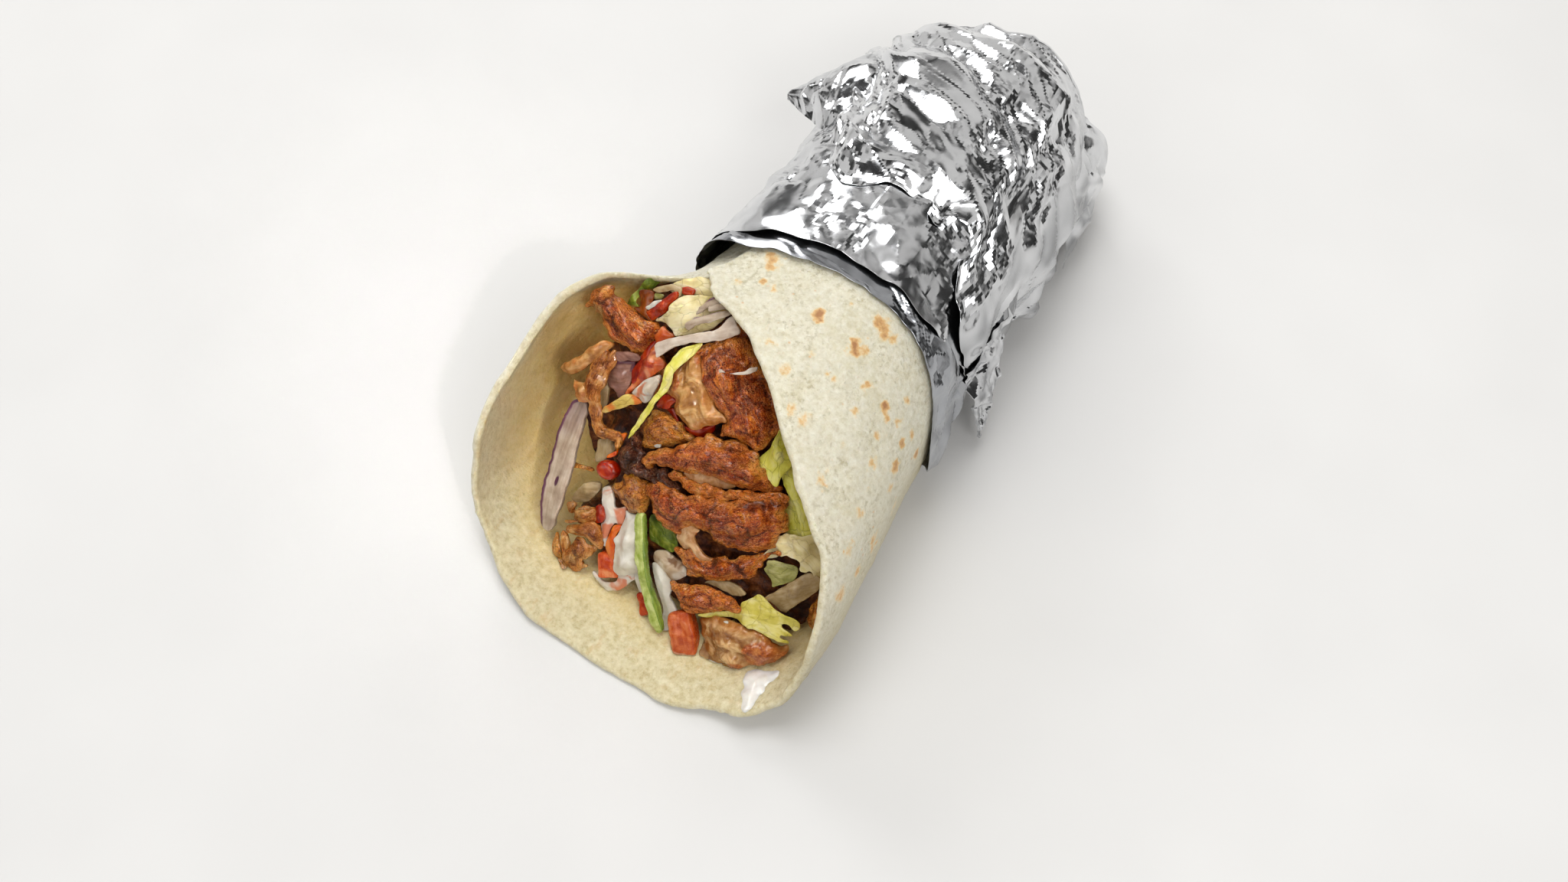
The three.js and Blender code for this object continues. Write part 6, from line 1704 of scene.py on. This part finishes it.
def sauces():
    white = sauce_finish("white_sauce", ((196, 188, 172), (210, 203, 188), (224, 218, 206)))
    mingled = sauce_finish(
        "white_sauce_mingled", ((200, 186, 166), (212, 202, 186), (224, 217, 204)), (206, 104, 52),
    )
    browned = sauce_finish(
        "white_sauce_on_meat", ((168, 140, 106), (196, 176, 148), (222, 212, 194)), (112, 68, 30),
        stained=0.05,
    )
    # Painted light: a brighter copy of the white sauce, so that the drip shows as lit although it lies in
    # shade.
    brightened_drip_sauce = sauce_finish("white_sauce_drip", ((228, 223, 214), (240, 236, 229), (250, 247, 241)), wet=0.6)
    red = sauce_finish("red_sauce", ((116, 10, 0), (156, 26, 0), (184, 58, 4)), glow=RED_GLOW, wet=0.25)
    orange = sauce_finish("orange_sauce", ((176, 52, 0), (204, 84, 4), (222, 122, 26)), glow=WARM_GLOW,
                          wet=0.25)
    streaked = sauce_finish(
        "red_sauce_streaked", ((196, 76, 20), (212, 104, 44), (224, 146, 96)), (150, 22, 2), WARM_GLOW, 0.03,
    )
    rust = sauce_finish(
        "sauce_on_filling", ((120, 54, 14), (150, 74, 20), (176, 100, 36)), (96, 36, 8), (1.0, 0.4, 0.1),
    )
    pour("white_sauce_poured", white, runny("tongue", 2.6, 91, deep=2.5), nodes=["white_sauce"])
    pour("white_sauce_mingled", mingled,
         runny("stream", 1.8, 92, deep=2.0), runny("rim_sauce", 1.8, 95),
         runny("blob", 2.4, 96, deep=2.5))
    pour("white_sauce_on_meat", browned, runny("smear", 1.8, 113, deep=2.0))
    pour("white_sauce_runs", white,
         runny("white_right", 1.8, 93, deep=2.5), runny("white_left", 1.6, 94),
         runny("lip_fat", 1.2, 97, deep=0.6), runny("lip_white", 1.6, 98),
         runny("nub_glint", 0.9, 99, 0.2, 0.5, 0.4), runny("strip_white", 1.2, 114, deep=0.5))
    pour("red_sauce_pools", red,
         runny("red_pool", 1.6, 101, deep=2.0), runny("red_low", 1.6, 102, deep=1.5),
         runny("red_under", 1.6, 103, deep=2.0), runny("red_side", 1.4, 104, deep=2.0),
         runny("red_patch", 1.6, 105, deep=1.6), runny("red_left", 1.6, 111, deep=1.0),
         drop((-26.9, -6.8, 5.2), (3.3, 3.0, 2.4), 106))
    pour("red_sauce_streaked", streaked, runny("red_area", 1.6, 115, deep=2.0))
    pour("sauce_on_filling", rust, runny("back_sauce", 1.4, 116, deep=1.5))
    pour("orange_sauce_runs", orange,
         runny("stream_red", 1.6, 107, deep=1.6), runny("orange_bit", 1.6, 108, deep=1.6),
         runny("orange_low", 1.4, 109, deep=1.6))
    drip = runny("lip_drip", 3.2, 110, edge=0.1, fall=1.5, deep=0.0, lay=True, jag=0.3)
    pour("white_sauce_drip", brightened_drip_sauce, drip, held=False)


# --- The filling's core ------------------------------------------------------------------------

def core_finish():
    f = Finish("mixed_filling_painted_shade")
    patches, fine = f.grain(4.5, 4, 0.6, bend=1.0), f.grain(0.9, 4, 0.65)
    # Partly the filling's own browns and partly painted shade: its darkest tones stand in for the shade in
    # the gaps between the pieces.
    colour = f.ramp(
        patches * 0.75 + fine * 0.25,
        (0.34, (34, 12, 4)), (0.47, (72, 30, 10)), (0.57, (122, 64, 26)), (0.68, (172, 112, 60)),
    )
    return f.surface(
        Base_Color=colour,
        Roughness=0.42 + (fine - 0.5) * 0.3,
        Specular_IOR_Level=0.3,
        Normal=f.bump(fine, 0.5, 0.6),
    )


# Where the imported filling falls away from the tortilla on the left: up the slope, and across.
CORE_EDGE = [
    (-40, -24), (-30, -30), (-22, -33), (-15, -27), (-11, -26), (-6, -30), (4, -34), (20, -40), (35, -36),
]


CORE_CELL = 1.1


def make_core():
    """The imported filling: the solid out to its slope, roughened into strands and pits in the mouth."""
    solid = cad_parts["filling"].data
    points = np.array([v.co for v in solid.vertices]) / MM - SHIFT
    faces = [tuple(p.vertices) for p in solid.polygons]
    points, quads, normals = fused([(points, faces)], CORE_CELL, 3)
    open_part = smooth(30, 5, points[:, 1])
    relief = np.abs(noise(points, (4.6, 2.2, 2.2), 15)) * 1.5 + rough(points, 2.0, 16) * 0.35 - 0.9
    points = points + normals * (relief * open_part - 0.15)[:, None]
    a, b, n = to_heap(points).T
    edge = np.interp(b, *np.transpose(CORE_EDGE))
    sunk = 15.0 * smooth(0, 5, edge - a) * smooth(-24, -4, n) * open_part
    points = points - HEAP_TURN[:, 2] * sunk[:, None]
    points = mix(points, kept_in(points), smooth(30, 20, points[:, 1])[:, None])
    points[:, 2] = np.maximum(points[:, 2], SHEET + 0.4)
    ON_HEAP.append((points, quads))
    add_piece("filling_core", make_mesh("filling_core", points, quads), core_finish(), ["filling"])


# --- The stage ---------------------------------------------------------------------------------

CAMERA_PLACE = (133.44, -242.5, 438.0)
CAMERA_LENS = 45.07
CAMERA_TILT = 60.0  # degrees that it looks down
CAMERA_TURN = 30.0  # degrees to the right of the roll's mouth


FLOOR_REACH = 3.0  # metres each way
FLOOR_DROP = 0.00005  # metres, so that the floor and the undersides don't share a plane


def make_camera():
    camera = bpy.data.objects.new("camera", bpy.data.cameras.new("camera"))
    camera.data.lens = CAMERA_LENS
    camera.data.sensor_width = 36.0
    camera.data.clip_start = 0.01
    camera.location = Vector(CAMERA_PLACE) * MM
    camera.rotation_euler = (math.radians(90 - CAMERA_TILT), 0, math.radians(CAMERA_TURN))
    bpy.context.scene.collection.objects.link(camera)
    bpy.context.scene.camera = camera


def area_light(name, place, aim, size, power, spread=180):
    lamp = bpy.data.lights.new(name, "AREA")
    lamp.shape = "RECTANGLE"
    lamp.size, lamp.size_y = size
    lamp.energy = power
    lamp.spread = math.radians(spread)
    light = bpy.data.objects.new(name, lamp)
    light.location = Vector(place)
    light.rotation_euler = (Vector(aim) - Vector(place)).to_track_quat("-Z", "Y").to_euler()
    bpy.context.scene.collection.objects.link(light)


def make_stage():
    floor_finish = Finish("pale_floor")
    tone = floor_finish.grain(60.0, 2)
    floor_finish.surface(
        Base_Color=floor_finish.ramp(tone, (0.3, (224, 223, 221)), (0.7, (228, 227, 225))),
        Roughness=0.75 + (tone - 0.5) * 0.05,
    )
    r = FLOOR_REACH
    corners = [(-r, -r, 0), (r, -r, 0), (r, r, 0), (-r, r, 0)]
    mesh = bpy.data.meshes.new("floor")
    mesh.from_pydata(corners, [], [(0, 1, 2, 3)])
    mesh.materials.append(floor_finish.material)
    floor = bpy.data.objects.new("floor", mesh)
    floor.location.z = -FLOOR_DROP
    bpy.context.scene.collection.objects.link(floor)
    area_light("overhead_box", (-0.15, 0.15, 1.25), (0, 0, 0.03), (0.7, 0.7), 8.0)
    area_light("window_light", (-0.85, 0.65, 0.75), (0, 0, 0.03), (0.7, 0.45), 4.5)
    area_light("mouth_light", (0.58, -0.45, 0.95), (0, -0.04, 0.03), (0.35, 0.35), 2.8)
    area_light("right_fill", (0.95, -0.35, 0.75), (0, 0, 0.03), (0.5, 0.4), 0.7)
    area_light("front_fill", (-0.3, -1.0, 0.9), (0, 0, 0.03), (0.6, 0.4), 1.2)
    area_light("wall_light", (0.55, -0.42, 0.72), (-0.032, -0.062, 0.036), (0.08, 0.08), 0.006, spread=7)
    bpy.context.scene.world = studio_world()
    bpy.context.scene.view_settings.view_transform = "Standard"


def studio_world():
    """Pale panels and dark gaps between them, for the foil to mirror."""
    world = bpy.data.worlds.new("studio")
    world.use_nodes = True
    nodes, links = world.node_tree.nodes, world.node_tree.links
    place = nodes.new("ShaderNodeTexCoord")
    panels = nodes.new("ShaderNodeTexNoise")
    panels.inputs["Scale"].default_value = 3.1
    panels.inputs["Detail"].default_value = 1.0
    tones = nodes.new("ShaderNodeValToRGB")
    for element, (at, level) in zip(tones.color_ramp.elements, ((0.455, 0.05), (0.545, 1.15))):
        element.position = at
        element.color = (level, level * 0.985, level * 0.96, 1)
    links.new(place.outputs["Generated"], panels.inputs["Vector"])
    links.new(panels.outputs["Fac"], tones.inputs["Fac"])
    links.new(tones.outputs["Color"], nodes["Background"].inputs["Color"])
    nodes["Background"].inputs["Strength"].default_value = 0.62
    return world


make_camera()
make_stage()
make_tortilla(tortilla_finish())
inner_foil = foil_finish("foil_inner_layer", (176, 178, 182), 0.18)
sleeve_foil = foil_finish("foil_sleeve_layer", (218, 219, 221), 0.17)
outer_foil = foil_finish("foil_outer_layers", (228, 229, 231), 0.13)
make_collar(inner_foil)
make_sleeve(sleeve_foil)
make_flap(outer_foil)
make_loose_foil(outer_foil)
make_core()
torn_meats()
salad()
chopped_vegetables()
sauces()
